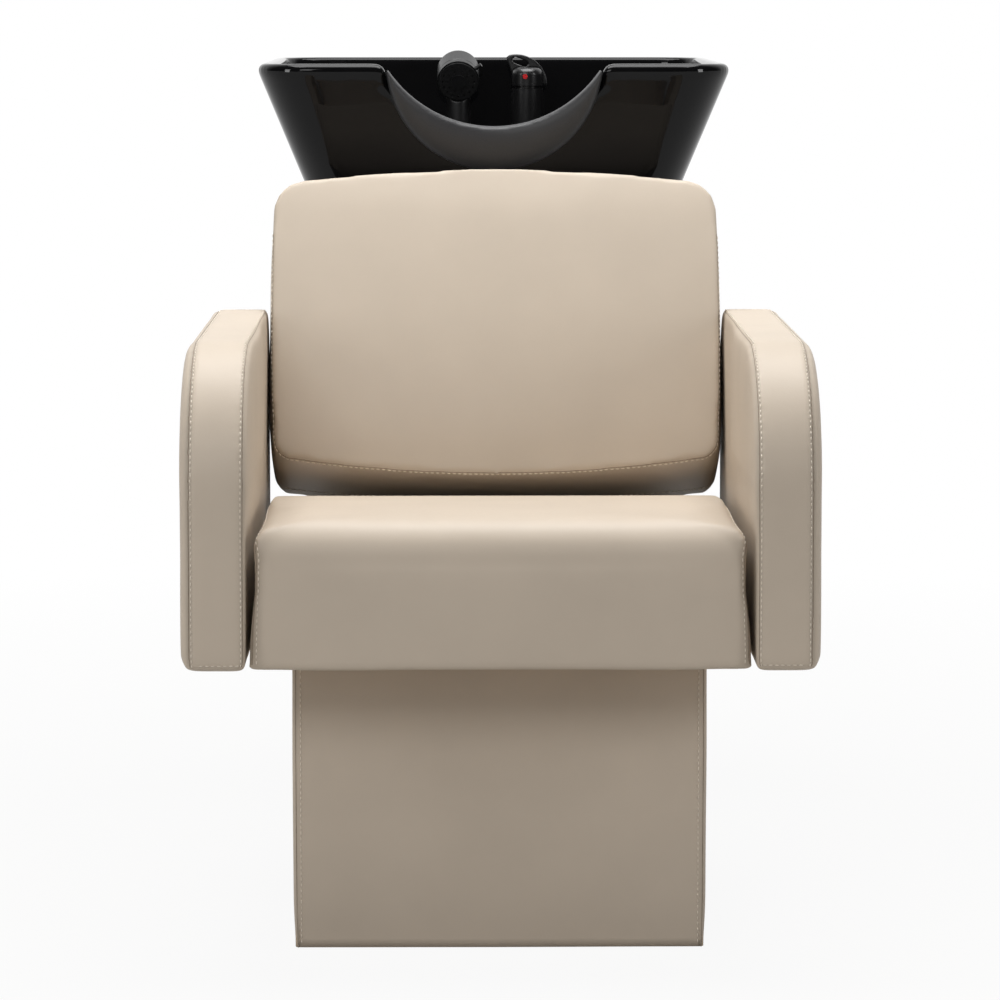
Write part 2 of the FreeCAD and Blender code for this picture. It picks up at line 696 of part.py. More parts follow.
def backrest_bolts():
    bolts = []
    for p in back_bolt_points():
        outside = p + Y_AXIS * BRACKET_STEEL
        shank = rod(BOLT_RADIUS, outside, p - Y_AXIS * (BACK_BOLT_GRIP - BOLT_RADIUS))
        head = rod(BOLT_HEAD_RADIUS, outside, outside + Y_AXIS * BOLT_HEAD)
        bolts.append(shank.fuse(head).removeSplitter())
    return lean(group(bolts))


def back_directions():
    """Up the backrest's panel, and back out of it."""
    slope = math.radians(BACK_RECLINE)
    return Vector(0, math.sin(slope), math.cos(slope)), Vector(0, math.cos(slope), -math.sin(slope))


def back_rear_foot():
    """The foot of the backrest's rear face, in the middle plane."""
    return Vector(0, FRONT + BACK_FRONT_PLACE, BACK_FOOT_HEIGHT) + back_directions()[1] * BACK_THICKNESS


def bracket_knee():
    """Where the line of the backrest's rear face meets the rails' top."""
    foot = back_rear_foot()
    upward = back_directions()[0]
    return foot - upward * ((foot.z - PEDESTAL_TOP) / upward.z)


def backrest_bracket(side):
    """A flat bar: a foot that runs back along the rail, then up the backrest's rear face."""
    x = side * RAIL_SPREAD / 2
    half = BRACKET_WIDTH / 2
    slope = math.radians(BACK_RECLINE)
    upward, outward = back_directions()
    head = back_rear_foot() + upward * BRACKET_REACH
    knee = bracket_knee()
    steel = Vector(0, 0, BRACKET_STEEL)
    toe = knee + Y_AXIS * BRACKET_FOOT
    inner_knee = knee + upward * (BRACKET_STEEL / math.cos(slope)) + Y_AXIS * (BRACKET_STEEL / math.cos(slope))
    points = [knee, toe, toe + steel, inner_knee, head + outward * BRACKET_STEEL, head]
    bar = prism(Part.makePolygon(points + [points[0]]), X_AXIS * BRACKET_WIDTH)
    bar.translate(X_AXIS * (x - half))
    return bar.cut(lean(back_bolt_holes()))


# Bowl column: laminated boards standing on the pedestal's top board, with a screwed service cover behind

def column_front_panel():
    half = COLUMN_WIDTH / 2
    return box(-half, half, COLUMN_FRONT, COLUMN_FRONT + COLUMN_BOARD, RAIL_FOOT, COLUMN_TOP - COLUMN_BOARD)


def column_side_panel(side):
    x0, x1 = sorted((side * COLUMN_WIDTH / 2, side * (COLUMN_WIDTH / 2 - COLUMN_BOARD)))
    panel = box(x0, x1, COLUMN_FRONT + COLUMN_BOARD, COLUMN_REAR - COLUMN_BOARD, RAIL_FOOT, COLUMN_TOP - COLUMN_BOARD)
    return panel.cut(cover_screw_holes())


def column_top_board():
    half = COLUMN_WIDTH / 2
    board = box(-half, half, COLUMN_FRONT, COLUMN_REAR, COLUMN_TOP - COLUMN_BOARD, COLUMN_TOP)
    core = COLUMN_CORE_HOLE / 2
    return board.cut(box(-core, core, DRAIN_Y - core, DRAIN_Y + core, COLUMN_TOP - COLUMN_BOARD, COLUMN_TOP))


def cover_screw_points():
    x = COLUMN_WIDTH / 2 - COLUMN_BOARD / 2
    lowest = RAIL_FOOT + COVER_SCREW_FOOT_INSET
    highest = COLUMN_TOP - COVER_SCREW_HEAD_INSET
    heights = (lowest, (lowest + highest) / 2, highest)
    return [Vector(side * x, COLUMN_REAR, z) for z in heights for side in (-1, 1)]


def cover_screw_holes():
    depth = COLUMN_BOARD + COVER_SCREW_LENGTH + BOLT_GAP
    return group([rod(COVER_SCREW_RADIUS + BOLT_GAP, p, p - Y_AXIS * depth) for p in cover_screw_points()])


def column_rear_cover():
    half = COLUMN_WIDTH / 2
    cover = box(-half, half, COLUMN_REAR - COLUMN_BOARD, COLUMN_REAR, RAIL_FOOT, COLUMN_TOP - COLUMN_BOARD)
    window = box(-WINDOW_WIDTH / 2, WINDOW_WIDTH / 2, COLUMN_REAR - COLUMN_BOARD, COLUMN_REAR,
                 OUTLET_HEIGHT - WINDOW_BELOW, OUTLET_HEIGHT + WINDOW_ABOVE)
    return cover.cut(window).cut(cover_screw_holes())


def column_cover_screws():
    screws = []
    for p in cover_screw_points():
        shank = rod(COVER_SCREW_RADIUS, p, p - Y_AXIS * (COLUMN_BOARD + COVER_SCREW_LENGTH))
        head = rod(COVER_SCREW_HEAD_RADIUS, p, p + Y_AXIS * COVER_SCREW_HEAD)
        screws.append(shank.fuse(head).removeSplitter())
    return group(screws)


# Tilt joint: fixed ears on the column, a cradle under the bowl, two pivot pins and a clamp lever

def ear(x0, z_root, side, root_half):
    """An upright plate with a rounded end at the pivot, from x0 outwards by one ear thickness."""
    pivot = Vector(0, DRAIN_Y, PIVOT_HEIGHT)
    eye = rod(EAR_RADIUS, pivot + X_AXIS * (side * x0), pivot + X_AXIS * (side * (x0 + EAR)))
    x_low, x_high = sorted((side * x0, side * (x0 + EAR)))
    z_low, z_high = sorted((z_root, PIVOT_HEIGHT))
    web = box(x_low, x_high, DRAIN_Y - root_half, DRAIN_Y + root_half, z_low, z_high)
    return eye.fuse(web)


def pivot_hole(radius):
    reach = EAR_OUTER + EAR
    return rod(radius, Vector(-reach, DRAIN_Y, PIVOT_HEIGHT), Vector(reach, DRAIN_Y, PIVOT_HEIGHT))


def cradle_ear_x():
    return EAR_OUTER - 2 * EAR - EAR_WASHER


def tilt_base():
    half_x = EAR_OUTER + TILT_PLATE_SIDE
    half_y = TILT_PLATE_HALF_DEPTH
    core = COLUMN_CORE_HOLE / 2
    plate = box(-half_x, half_x, DRAIN_Y - half_y, DRAIN_Y + half_y, COLUMN_TOP, TILT_PLATE_TOP)
    for side in (-1, 1):
        plate = plate.fuse(ear(EAR_OUTER - EAR, COLUMN_TOP, side, EAR_RADIUS))
    plate = plate.cut(box(-core, core, DRAIN_Y - core, DRAIN_Y + core, COLUMN_TOP, TILT_PLATE_TOP))
    return plate.removeSplitter().cut(pivot_hole(PIN_RADIUS + RUNNING_GAP))


def tilt_cradle():
    half_x = cradle_ear_x() + EAR
    plate = box(-half_x, half_x, DRAIN_Y - CRADLE_HALF_DEPTH, DRAIN_Y + CRADLE_HALF_DEPTH,
                CRADLE_TOP - STEEL_PLATE, CRADLE_TOP)
    for side in (-1, 1):
        plate = plate.fuse(ear(cradle_ear_x(), CRADLE_TOP, side, EAR_RADIUS))
    hole = upright(CRADLE_HOLE_RADIUS, 0, DRAIN_Y, CRADLE_TOP - STEEL_PLATE, CRADLE_TOP)
    return plate.cut(hole).removeSplitter().cut(pivot_hole(PIN_RADIUS + RUNNING_GAP))


def cradle_pads():
    pads = []
    for x in (-PAD_SPREAD / 2, PAD_SPREAD / 2):
        for y in (DRAIN_Y - PAD_DEPTH_SPREAD / 2, DRAIN_Y + PAD_DEPTH_SPREAD / 2):
            pads.append(upright(PAD_RADIUS, x, y, CRADLE_TOP, BOWL_FOOT))
    return group(pads)


def tilt_washers():
    """Friction washers between the fixed ears and the cradle's ears, on the fixed side."""
    washers = []
    for side in (-1, 1):
        start = Vector(side * (EAR_OUTER - EAR), DRAIN_Y, PIVOT_HEIGHT)
        end = start - X_AXIS * (side * (EAR_WASHER - POCKET_GAP))
        washers.append(rod(WASHER_RADIUS, start, end).cut(rod(PIN_RADIUS + RUNNING_GAP, start, end)))
    return group(washers)


def tilt_pin(side):
    """A shoulder pin with a collar inside the cradle. The right one ends in the clamp lever's stud."""
    pivot = Vector(0, DRAIN_Y, PIVOT_HEIGHT)
    inside = cradle_ear_x() - POCKET_GAP
    shaft = rod(PIN_RADIUS, pivot + X_AXIS * (side * inside), pivot + X_AXIS * (side * EAR_OUTER))
    collar = rod(PIN_HEAD_RADIUS, pivot + X_AXIS * (side * (inside - PIN_HEAD)), pivot + X_AXIS * (side * inside))
    if side < 0:
        outer = rod(PIN_HEAD_RADIUS, pivot - X_AXIS * EAR_OUTER, pivot - X_AXIS * (EAR_OUTER + PIN_HEAD))
    else:
        outer = rod(CLAMP_STUD_RADIUS, pivot + X_AXIS * EAR_OUTER, pivot + X_AXIS * (EAR_OUTER + CLAMP_HUB_LENGTH))
    return shaft.fuse(collar).fuse(outer).removeSplitter()


def tilt_clamp_lever():
    """A hub on the right pin's stud with an arm and a knob that point back."""
    start = Vector(EAR_OUTER + POCKET_GAP, DRAIN_Y, PIVOT_HEIGHT)
    end = start + X_AXIS * CLAMP_HUB_LENGTH
    hub = rod(CLAMP_HUB_RADIUS, start, end)
    middle = (start + end) * 0.5
    arm = rod(CLAMP_ARM_RADIUS, middle, middle + Y_AXIS * CLAMP_ARM)
    knob = rod(CLAMP_KNOB_RADIUS, middle + Y_AXIS * (CLAMP_ARM - CLAMP_KNOB / 2),
               middle + Y_AXIS * (CLAMP_ARM + CLAMP_KNOB / 2))
    return hub.fuse(arm).fuse(knob).removeSplitter().cut(rod(CLAMP_STUD_RADIUS + RUNNING_GAP, start, end))


# Bowl: a tapered ceramic basin with a sunken rear deck for the fittings and a neck notch in front

def bowl_outline(z, inset):
    """The bowl in plan at one height. The walls are upright in the rim's band and taper in below it."""
    fall = max(BOWL_RIM - BOWL_BAND - z, 0)
    half = BOWL_WIDTH / 2 - BOWL_SIDE_TAPER * fall - inset
    y0 = BOWL_FRONT + BOWL_FRONT_TAPER * fall + inset
    y1 = BOWL_REAR - BOWL_REAR_TAPER * fall - inset
    radius = BOWL_CORNER - inset
    corners = [Vector(-half, y0, z), Vector(half, y0, z), Vector(half, y1, z), Vector(-half, y1, z)]
    return rounded_outline(corners, [radius] * 4)


def bowl_frustum(z0, z1, inset):
    heights = (z0, BOWL_RIM - BOWL_BAND, z1)
    return Part.makeLoft([bowl_outline(z, inset) for z in heights], True, True)


def behind_basin(deck, offset):
    """The block under the deck, behind the basin's rear wall."""
    top_y = BOWL_REAR - DECK_DEPTH + offset
    foot_z = BOWL_FOOT - BOWL_FLOOR
    foot_y = top_y - DECK_WALL_TAPER * (deck - foot_z)
    far = BOWL_REAR + BOWL_WALL
    points = [Vector(0, top_y, deck), Vector(0, far, deck), Vector(0, far, foot_z), Vector(0, foot_y, foot_z)]
    block = prism(Part.makePolygon(points + [points[0]]), X_AXIS * (2 * BOWL_WIDTH))
    block.translate(X_AXIS * -BOWL_WIDTH)
    return block


def edges_at(shape, z, tolerance=1e-3):
    """Edges that lie wholly at one height."""
    return [e for e in shape.Edges if abs(e.BoundBox.ZMin - z) < tolerance and abs(e.BoundBox.ZMax - z) < tolerance]


def front_slab(near, far):
    """A slab parallel to the bowl's front wall, between two level distances behind its face."""
    low, high = BOWL_FOOT - BOWL_FLOOR, BOWL_RIM + NECK_CENTRE_RISE

    def at(z, depth):
        return Vector(0, BOWL_FRONT + BOWL_FRONT_TAPER * (BOWL_RIM - BOWL_BAND - z) + depth, z)

    points = [at(low, near), at(low, far), at(high, far), at(high, near)]
    slab = prism(Part.makePolygon(points + [points[0]]), X_AXIS * BOWL_WIDTH)
    slab.translate(X_AXIS * (-BOWL_WIDTH / 2))
    return slab


def across_front(radius, z):
    """A round bar through the bowl's front wall."""
    return rod(radius, Vector(0, BOWL_FRONT - BOWL_DEPTH / 4, z), Vector(0, BOWL_FRONT + BOWL_DEPTH / 2, z))


def notch_flare(side):
    """The waste outside a rounded corner where the notch meets the rim."""
    edge = NECK_APRON_RADIUS + NECK_GAP
    foot = BOWL_RIM - NOTCH_FLARE
    x0, x1 = sorted((side * (edge - NOTCH_FLARE), side * (edge + NOTCH_FLARE)))
    block = box(x0, x1, BOWL_FRONT - BOWL_DEPTH / 4, BOWL_FRONT + BOWL_DEPTH / 2, foot, BOWL_RIM + NOTCH_FLARE)
    corner = rod(NOTCH_FLARE, Vector(side * (edge + NOTCH_FLARE), BOWL_FRONT - BOWL_DEPTH / 4, foot),
                 Vector(side * (edge + NOTCH_FLARE), BOWL_FRONT + BOWL_DEPTH / 2, foot))
    return block.cut(corner)


def basin():
    outer = bowl_frustum(BOWL_FOOT, BOWL_RIM, 0)
    outer = outer.makeFillet(BOWL_OUTER_ROUND, edges_at(outer, BOWL_FOOT))
    outer = outer.makeFillet(BOWL_LIP, edges_at(outer, BOWL_RIM))
    outer = outer.cut(behind_basin(DECK_UNDER, BOWL_WALL))
    hollow = bowl_frustum(BASIN_FLOOR, BOWL_RIM + BOWL_LIP, BOWL_WALL)
    hollow = hollow.makeFillet(BOWL_INNER_ROUND, edges_at(hollow, BASIN_FLOOR))
    hollow = hollow.cut(behind_basin(DECK_TOP, 0))
    bowl = outer.cut(hollow)
    notch_z = BOWL_RIM + NECK_CENTRE_RISE
    notch = across_front(NECK_RADIUS + NECK_SADDLE, notch_z)
    notch = notch.common(across_front(NECK_APRON_RADIUS + NECK_GAP, BOWL_RIM))
    bowl = bowl.cut(notch.common(front_slab(-BOWL_WALL, 2 * BOWL_WALL)))
    for side in (-1, 1):
        bowl = bowl.cut(notch_flare(side).common(front_slab(-BOWL_WALL, 2 * BOWL_WALL)))
    bowl = bowl.cut(upright(DRAIN_RECESS_RADIUS, 0, DRAIN_Y, BASIN_FLOOR - DRAIN_RECESS, BASIN_FLOOR))
    bowl = bowl.cut(upright(DRAIN_HOLE_RADIUS, 0, DRAIN_Y, BOWL_FOOT, BASIN_FLOOR))
    for x, radius in ((MIXER_PLACE, SHANK_RADIUS), (SHOWER_PLACE, HOLDER_TUBE_RADIUS)):
        bowl = bowl.cut(upright(radius + BOLT_GAP, x, FIXTURE_Y, DECK_UNDER, DECK_TOP))
    return bowl


def neck_rest():
    """A rubber saddle over the notch with a crescent apron in front and a lip inside."""
    centre = BOWL_RIM + NECK_CENTRE_RISE
    below_rim = box(-BOWL_WIDTH / 2, BOWL_WIDTH / 2, BOWL_FRONT - BOWL_DEPTH / 4, BOWL_FRONT + BOWL_DEPTH / 2,
                    BOWL_FOOT, BOWL_RIM)
    throat = across_front(NECK_RADIUS, centre)
    wall_radius = NECK_RADIUS + NECK_SADDLE - NECK_GAP
    apron = across_front(NECK_APRON_RADIUS, BOWL_RIM).common(below_rim).cut(throat)
    apron = apron.common(front_slab(-NECK_APRON, -NECK_GAP))
    wall_back = BOWL_WALL + NECK_GAP
    saddle = across_front(wall_radius, centre).common(across_front(NECK_APRON_RADIUS, BOWL_RIM))
    saddle = saddle.common(below_rim).cut(throat).common(front_slab(-NECK_APRON, wall_back + NECK_LIP))
    lip = across_front(wall_radius + NECK_LIP_DEPTH, centre).common(across_front(NECK_APRON_RADIUS, BOWL_RIM))
    lip = lip.common(below_rim).cut(throat).common(front_slab(wall_back, wall_back + NECK_LIP))
    return apron.fuse(saddle).fuse(lip).removeSplitter()


# Waste: flange and strainer in the bowl, nut and gasket below it, and a bottle trap

def drain_flange():
    seat = BASIN_FLOOR - DRAIN_RECESS
    body = upright(FLANGE_RADIUS, 0, DRAIN_Y, seat, seat + FLANGE).fuse(upright(TAIL_RADIUS, 0, DRAIN_Y, TAIL_END, seat))
    return body.cut(upright(TAIL_BORE_RADIUS, 0, DRAIN_Y, TAIL_END, seat + FLANGE)).removeSplitter()


def drain_gasket():
    return ring(GASKET_RADIUS, TAIL_RADIUS + BOLT_GAP, 0, DRAIN_Y, BOWL_FOOT - GASKET, BOWL_FOOT)


def drain_nut():
    top = BOWL_FOOT - GASKET
    corners = [Vector(NUT_RADIUS * math.cos(math.radians(60 * i)), DRAIN_Y + NUT_RADIUS * math.sin(math.radians(60 * i)),
                      top - NUT) for i in range(7)]
    nut = prism(Part.makePolygon(corners), Z_AXIS * NUT)
    return nut.cut(upright(TAIL_RADIUS + BOLT_GAP, 0, DRAIN_Y, top - NUT, top))


def trap_body():
    cup = upright(TRAP_RADIUS, 0, DRAIN_Y, TRAP_FOOT, TRAP_TOP)
    outlet_start = Vector(0, DRAIN_Y, OUTLET_HEIGHT)
    outlet_end = outlet_start + Y_AXIS * OUTLET_REACH
    cup = cup.fuse(rod(OUTLET_RADIUS, outlet_start, outlet_end))
    bead_end = outlet_end - Y_AXIS * OUTLET_SPIGOT
    cup = cup.fuse(rod(OUTLET_BEAD_RADIUS, bead_end - Y_AXIS * OUTLET_BEAD, bead_end))
    cup = cup.cut(upright(TRAP_RADIUS - TRAP_WALL, 0, DRAIN_Y, TRAP_FOOT + TRAP_WALL, TRAP_TOP - TRAP_LID))
    cup = cup.cut(rod(OUTLET_BORE_RADIUS, outlet_start, outlet_end))
    return cup.cut(upright(TAIL_RADIUS + BOLT_GAP, 0, DRAIN_Y, TRAP_TOP - TRAP_LID, TRAP_TOP)).removeSplitter()


def hair_strainer():
    seat = BASIN_FLOOR - DRAIN_RECESS + FLANGE + POCKET_GAP
    plate = upright(STRAINER_RADIUS, 0, DRAIN_Y, seat, seat + STRAINER)
    plate = plate.fuse(upright(STRAINER_KNOB_RADIUS, 0, DRAIN_Y, seat, seat + STRAINER_KNOB)).removeSplitter()
    holes = []
    for radius, count in STRAINER_RINGS:
        for i in range(count):
            turn = 2 * math.pi * i / count
            x, y = radius * math.cos(turn), DRAIN_Y + radius * math.sin(turn)
            holes.append(upright(STRAINER_HOLE_RADIUS, x, y, seat, seat + STRAINER))
    return plate.cut(group(holes))


# Mixer tap on the deck: body and shank, cartridge that swings, cap and loop lever that lift

def mixer_base_ring():
    return ring(MIXER_RING_RADIUS, SHANK_RADIUS + BOLT_GAP, MIXER_PLACE, FIXTURE_Y, DECK_TOP, DECK_TOP + MIXER_RING)


def inlet_points():
    return [Vector(MIXER_PLACE + side * INLET_SPREAD / 2, FIXTURE_Y, SHANK_END) for side in (-1, 1)]


def mixer_body():
    seat = DECK_TOP + MIXER_RING
    body = upright(MIXER_RADIUS, MIXER_PLACE, FIXTURE_Y, seat, MIXER_TOP)
    body = body.fuse(upright(SHANK_RADIUS, MIXER_PLACE, FIXTURE_Y, SHANK_END, seat)).removeSplitter()
    for p in inlet_points():
        body = body.cut(upright(INLET_RADIUS + RUNNING_GAP, p.x, p.y, p.z, p.z + INLET_SOCKET))
    return body


def mixer_locknut():
    return ring(LOCKNUT_RADIUS, SHANK_RADIUS + BOLT_GAP, MIXER_PLACE, FIXTURE_Y, DECK_UNDER - LOCKNUT, DECK_UNDER)


def mixer_inlet_tails():
    """Two tails in sockets in the shank, each with a union collar and a plain end for a hose."""
    tails = []
    for p in inlet_points():
        tail = upright(INLET_RADIUS, p.x, p.y, p.z - INLET_LENGTH, p.z + INLET_SOCKET)
        tails.append(tail.fuse(upright(INLET_UNION_RADIUS, p.x, p.y, p.z - INLET_UNION, p.z)).removeSplitter())
    return group(tails)


def mixer_cartridge():
    foot = MIXER_TOP + POCKET_GAP
    collar = upright(CARTRIDGE_RADIUS, MIXER_PLACE, FIXTURE_Y, foot, MIXER_TOP + CARTRIDGE)
    stem = upright(CARTRIDGE_STEM_RADIUS, MIXER_PLACE, FIXTURE_Y, foot, MIXER_TOP + CARTRIDGE + CARTRIDGE_STEM)
    return collar.fuse(stem).removeSplitter()


def cap_dome():
    top = CAP_FOOT + CAP_SKIRT + CAP_DOME
    dome = upright(MIXER_RADIUS, MIXER_PLACE, FIXTURE_Y, CAP_FOOT, top)
    return dome.makeFillet(CAP_ROUND, edges_at(dome, top))


def mark_block(grow):
    """The hot and cold mark on the cap's front, or its seat."""
    face = FIXTURE_Y - MIXER_RADIUS
    z = CAP_FOOT + MARK_HEIGHT
    x = MIXER_PLACE - MARK_RADIUS
    return rod(MARK_RADIUS + grow, Vector(x, face - MARK, z), Vector(x, face + 2 * MARK + grow, z))


def mixer_cap():
    """The domed cap. Its hollow underside clears the stem as the lever lifts."""
    ceiling = CAP_FOOT + CAP_SKIRT + CAP_WALL
    hollow = upright(MIXER_RADIUS - CAP_WALL, MIXER_PLACE, FIXTURE_Y, CAP_FOOT, ceiling)
    return cap_dome().cut(hollow).cut(mark_block(RUNNING_GAP))


def temperature_mark():
    return mark_block(0)


def lever_blade():
    """A broad blade behind the dome that sweeps from the right foot up to a tip at the upper left."""
    y0 = FIXTURE_Y + MIXER_RADIUS / 4
    x, z = MIXER_PLACE, CAP_FOOT
    root = Vector(x + LEVER_ROOT_REACH, y0, z)
    shoulder = Vector(x + LEVER_ROOT_REACH * 0.55, y0, z + LEVER_TIP_HEIGHT * 0.72)
    tip_upper = Vector(x - LEVER_TIP_REACH + LEVER_TIP_BLUNT, y0, z + LEVER_TIP_HEIGHT)
    tip = Vector(x - LEVER_TIP_REACH, y0, z + LEVER_TIP_HEIGHT - LEVER_TIP_FALL)
    waist = Vector(x - MIXER_RADIUS, y0, z + CAP_SKIRT + LEVER_TIP_BLUNT)
    foot = Vector(x - MIXER_RADIUS, y0, z)
    outline = Part.Wire([
        arc(root, shoulder, tip_upper),
        Part.LineSegment(tip_upper, tip).toShape(),
        Part.LineSegment(tip, waist).toShape(),
        Part.LineSegment(waist, foot).toShape(),
        Part.LineSegment(foot, root).toShape(),
    ])
    return prism(outline, Y_AXIS * LEVER_THICKNESS)


def mixer_lever():
    hole_centre = Vector(MIXER_PLACE - LEVER_HOLE_SETBACK, FIXTURE_Y, CAP_FOOT + LEVER_TIP_HEIGHT - LEVER_HOLE_DROP)
    straight = (LEVER_HOLE_LENGTH - LEVER_HOLE_WIDTH) / 2
    slot = box(-straight, straight, -BOARD, BOARD, -LEVER_HOLE_WIDTH / 2, LEVER_HOLE_WIDTH / 2)
    for side in (-1, 1):
        end = Vector(side * straight, -BOARD, 0)
        slot = slot.fuse(rod(LEVER_HOLE_WIDTH / 2, end, end + Y_AXIS * (2 * BOARD)))
    slot.rotate(Vector(0, 0, 0), Y_AXIS, -LEVER_HOLE_TILT)
    slot.translate(hole_centre)
    return lever_blade().cut(slot).cut(cap_dome())


# Hand shower in its holder on the deck

def shower_holder():
    flange = upright(HOLDER_RADIUS, SHOWER_PLACE, FIXTURE_Y, DECK_TOP, DECK_TOP + HOLDER_FLANGE)
    tube = upright(HOLDER_TUBE_RADIUS, SHOWER_PLACE, FIXTURE_Y, HOLDER_END, DECK_TOP)
    bore = upright(HOLDER_BORE_RADIUS, SHOWER_PLACE, FIXTURE_Y, HOLDER_END, DECK_TOP + HOLDER_FLANGE)
    return flange.fuse(tube).cut(bore).removeSplitter()


def shower_holder_nut():
    return ring(LOCKNUT_RADIUS, HOLDER_TUBE_RADIUS + BOLT_GAP, SHOWER_PLACE, FIXTURE_Y, DECK_UNDER - LOCKNUT, DECK_UNDER)


def head_along():
    """The way the spray leaves: forwards and down."""
    tilt = math.radians(HEAD_TILT)
    return Vector(0, -math.cos(tilt), -math.sin(tilt))


def head_point(depth):
    """A point on the shower head's axis, by its distance behind the spray face."""
    neck = Vector(SHOWER_PLACE, FIXTURE_Y, DECK_TOP + HEAD_HEIGHT)
    return neck + head_along() * (HEAD_NECK_PLACE - depth)


def head_rod(radius, start, end):
    return rod(radius, head_point(start), head_point(end))


def shower_handle():
    seat = DECK_TOP + HOLDER_FLANGE + POCKET_GAP
    top = DECK_TOP + HEAD_HEIGHT
    grip = upright(HANDLE_RADIUS, SHOWER_PLACE, FIXTURE_Y, seat, top)
    spigot = upright(HOLDER_BORE_RADIUS - HANDLE_SPIGOT_GAP, SHOWER_PLACE, FIXTURE_Y, HOLDER_END, seat)
    handle = grip.fuse(spigot).removeSplitter()
    handle = handle.cut(head_rod(HEAD_RADIUS, RING_END, HEAD_LENGTH))
    return handle.cut(head_rod(HEAD_RADIUS + RING_GAP, -HEAD_LENGTH, RING_END + RING_GAP))


def shower_head():
    shell = head_rod(HEAD_RADIUS, RING_END + RING_GAP, HEAD_LENGTH)
    end = head_point(HEAD_LENGTH)
    rear = [e for e in shell.Edges if e.isClosed() and (e.CenterOfMass - end).Length < 1e-3]
    shell = shell.makeFillet(HEAD_END_ROUND, rear)
    return shell.fuse(head_rod(HEAD_SPIGOT_RADIUS, 0, RING_END + RING_GAP)).removeSplitter()


def spray_selector_ring():
    """The turning ring behind the spray plate, with a thumb tab at its upper right."""
    band = head_rod(HEAD_RADIUS, RING_START, RING_END)
    turn = math.radians(TAB_ANGLE)
    tilt = math.radians(HEAD_TILT)
    up = Vector(0, -math.sin(tilt), math.cos(tilt))
    outward = X_AXIS * math.cos(turn) + up * math.sin(turn)
    middle = head_point((RING_START + RING_END) / 2)
    tab = rod(TAB_WIDTH / 2, middle + outward * (HEAD_SPIGOT_RADIUS + TAB_WIDTH), middle + outward * (HEAD_RADIUS + TAB_REACH))
    return band.fuse(tab).cut(head_rod(HEAD_SPIGOT_RADIUS + RING_GAP, RING_START, RING_END)).removeSplitter()


def spray_plate():
    plate = head_rod(SPRAY_RADIUS, -SPRAY_PLATE / 2, RING_START - RING_GAP)
    plate = plate.cut(head_rod(HEAD_SPIGOT_RADIUS, 0, RING_START))
    nozzles = []
    side = X_AXIS
    up = head_along().cross(side)
    for radius, count in SPRAY_RINGS:
        for i in range(count):
            turn = 2 * math.pi * i / count
            offset = side * (radius * math.cos(turn)) + up * (radius * math.sin(turn))
            nozzles.append(rod(SPRAY_NOZZLE_RADIUS, head_point(-SPRAY_PLATE) + offset, head_point(0) + offset))
    return plate.cut(group(nozzles))


def spray_centre_cap():
    return head_rod(CENTRE_CAP_RADIUS, -SPRAY_PLATE / 2 - CENTRE_CAP, -SPRAY_PLATE / 2)


NODES = {
    "pedestal_cover": pedestal_cover,
    "pedestal_front_board": pedestal_front_board,
    "pedestal_left_board": lambda: pedestal_side_board(-1),
    "pedestal_right_board": lambda: pedestal_side_board(1),
    "pedestal_rear_panel": pedestal_rear_panel,
    "pedestal_top_board": pedestal_top_board,
    "floor_brackets": floor_brackets,
    "glides": glides,
    "seat_rails": seat_rails,
    "arm_crossbars": arm_crossbars,
    "seat_board": seat_board,
    "seat_cushion": seat_cushion,
    "seat_bolts": lambda: upright_bolts(seat_bolt_points(), SEAT_BOLT_GRIP),
    "arm_left_board": lambda: mirrored(arm_board()),
    "arm_left_cushion": lambda: mirrored(arm_cushion()),
    "arm_right_board": arm_board,
    "arm_right_cushion": arm_cushion,
    "arm_bolts": lambda: upright_bolts(arm_bolt_points(), BOLT_GRIP),
    "backrest_board": backrest_board,
    "backrest_cushion": backrest_cushion,
    "backrest_left_bracket": lambda: backrest_bracket(-1),
    "backrest_right_bracket": lambda: backrest_bracket(1),
    "backrest_bolts": backrest_bolts,
    "column_front_panel": column_front_panel,
    "column_left_panel": lambda: column_side_panel(-1),
    "column_right_panel": lambda: column_side_panel(1),
    "column_rear_cover": column_rear_cover,
    "column_cover_screws": column_cover_screws,
    "column_top_board": column_top_board,
    "tilt_base": tilt_base,
    "tilt_cradle": tilt_cradle,
    "tilt_left_pin": lambda: tilt_pin(-1),
    "tilt_right_pin": lambda: tilt_pin(1),
    "tilt_washers": tilt_washers,
    "tilt_clamp_lever": tilt_clamp_lever,
    "cradle_pads": cradle_pads,
    "basin": basin,
    "neck_rest": neck_rest,
    "drain_flange": drain_flange,
    "drain_gasket": drain_gasket,
    "drain_nut": drain_nut,
    "trap_body": trap_body,
    "hair_strainer": hair_strainer,
    "mixer_base_ring": mixer_base_ring,
    "mixer_body": mixer_body,
    "mixer_locknut": mixer_locknut,
    "mixer_inlet_tails": mixer_inlet_tails,
    "mixer_cartridge": mixer_cartridge,
    "mixer_cap": mixer_cap,
    "mixer_lever": mixer_lever,
    "temperature_mark": temperature_mark,
    "shower_holder": shower_holder,
    "shower_holder_nut": shower_holder_nut,
    "shower_handle": shower_handle,
    "shower_head": shower_head,
    "spray_plate": spray_plate,
    "spray_centre_cap": spray_centre_cap,
    "spray_selector_ring": spray_selector_ring,
}

os.makedirs("parts", exist_ok=True)
for name, make in NODES.items():
    shape = make()
    solids = shape.Solids
    print(name, "solids", len(solids), "valid", shape.isValid(), "volume", round(shape.Volume))
    shape.exportStep(os.path.join("parts", name + ".step"))
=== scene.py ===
import math

import bmesh
import bpy
from mathutils import Matrix, Vector, noise
from mathutils.bvhtree import BVHTree
from mathutils.kdtree import KDTree


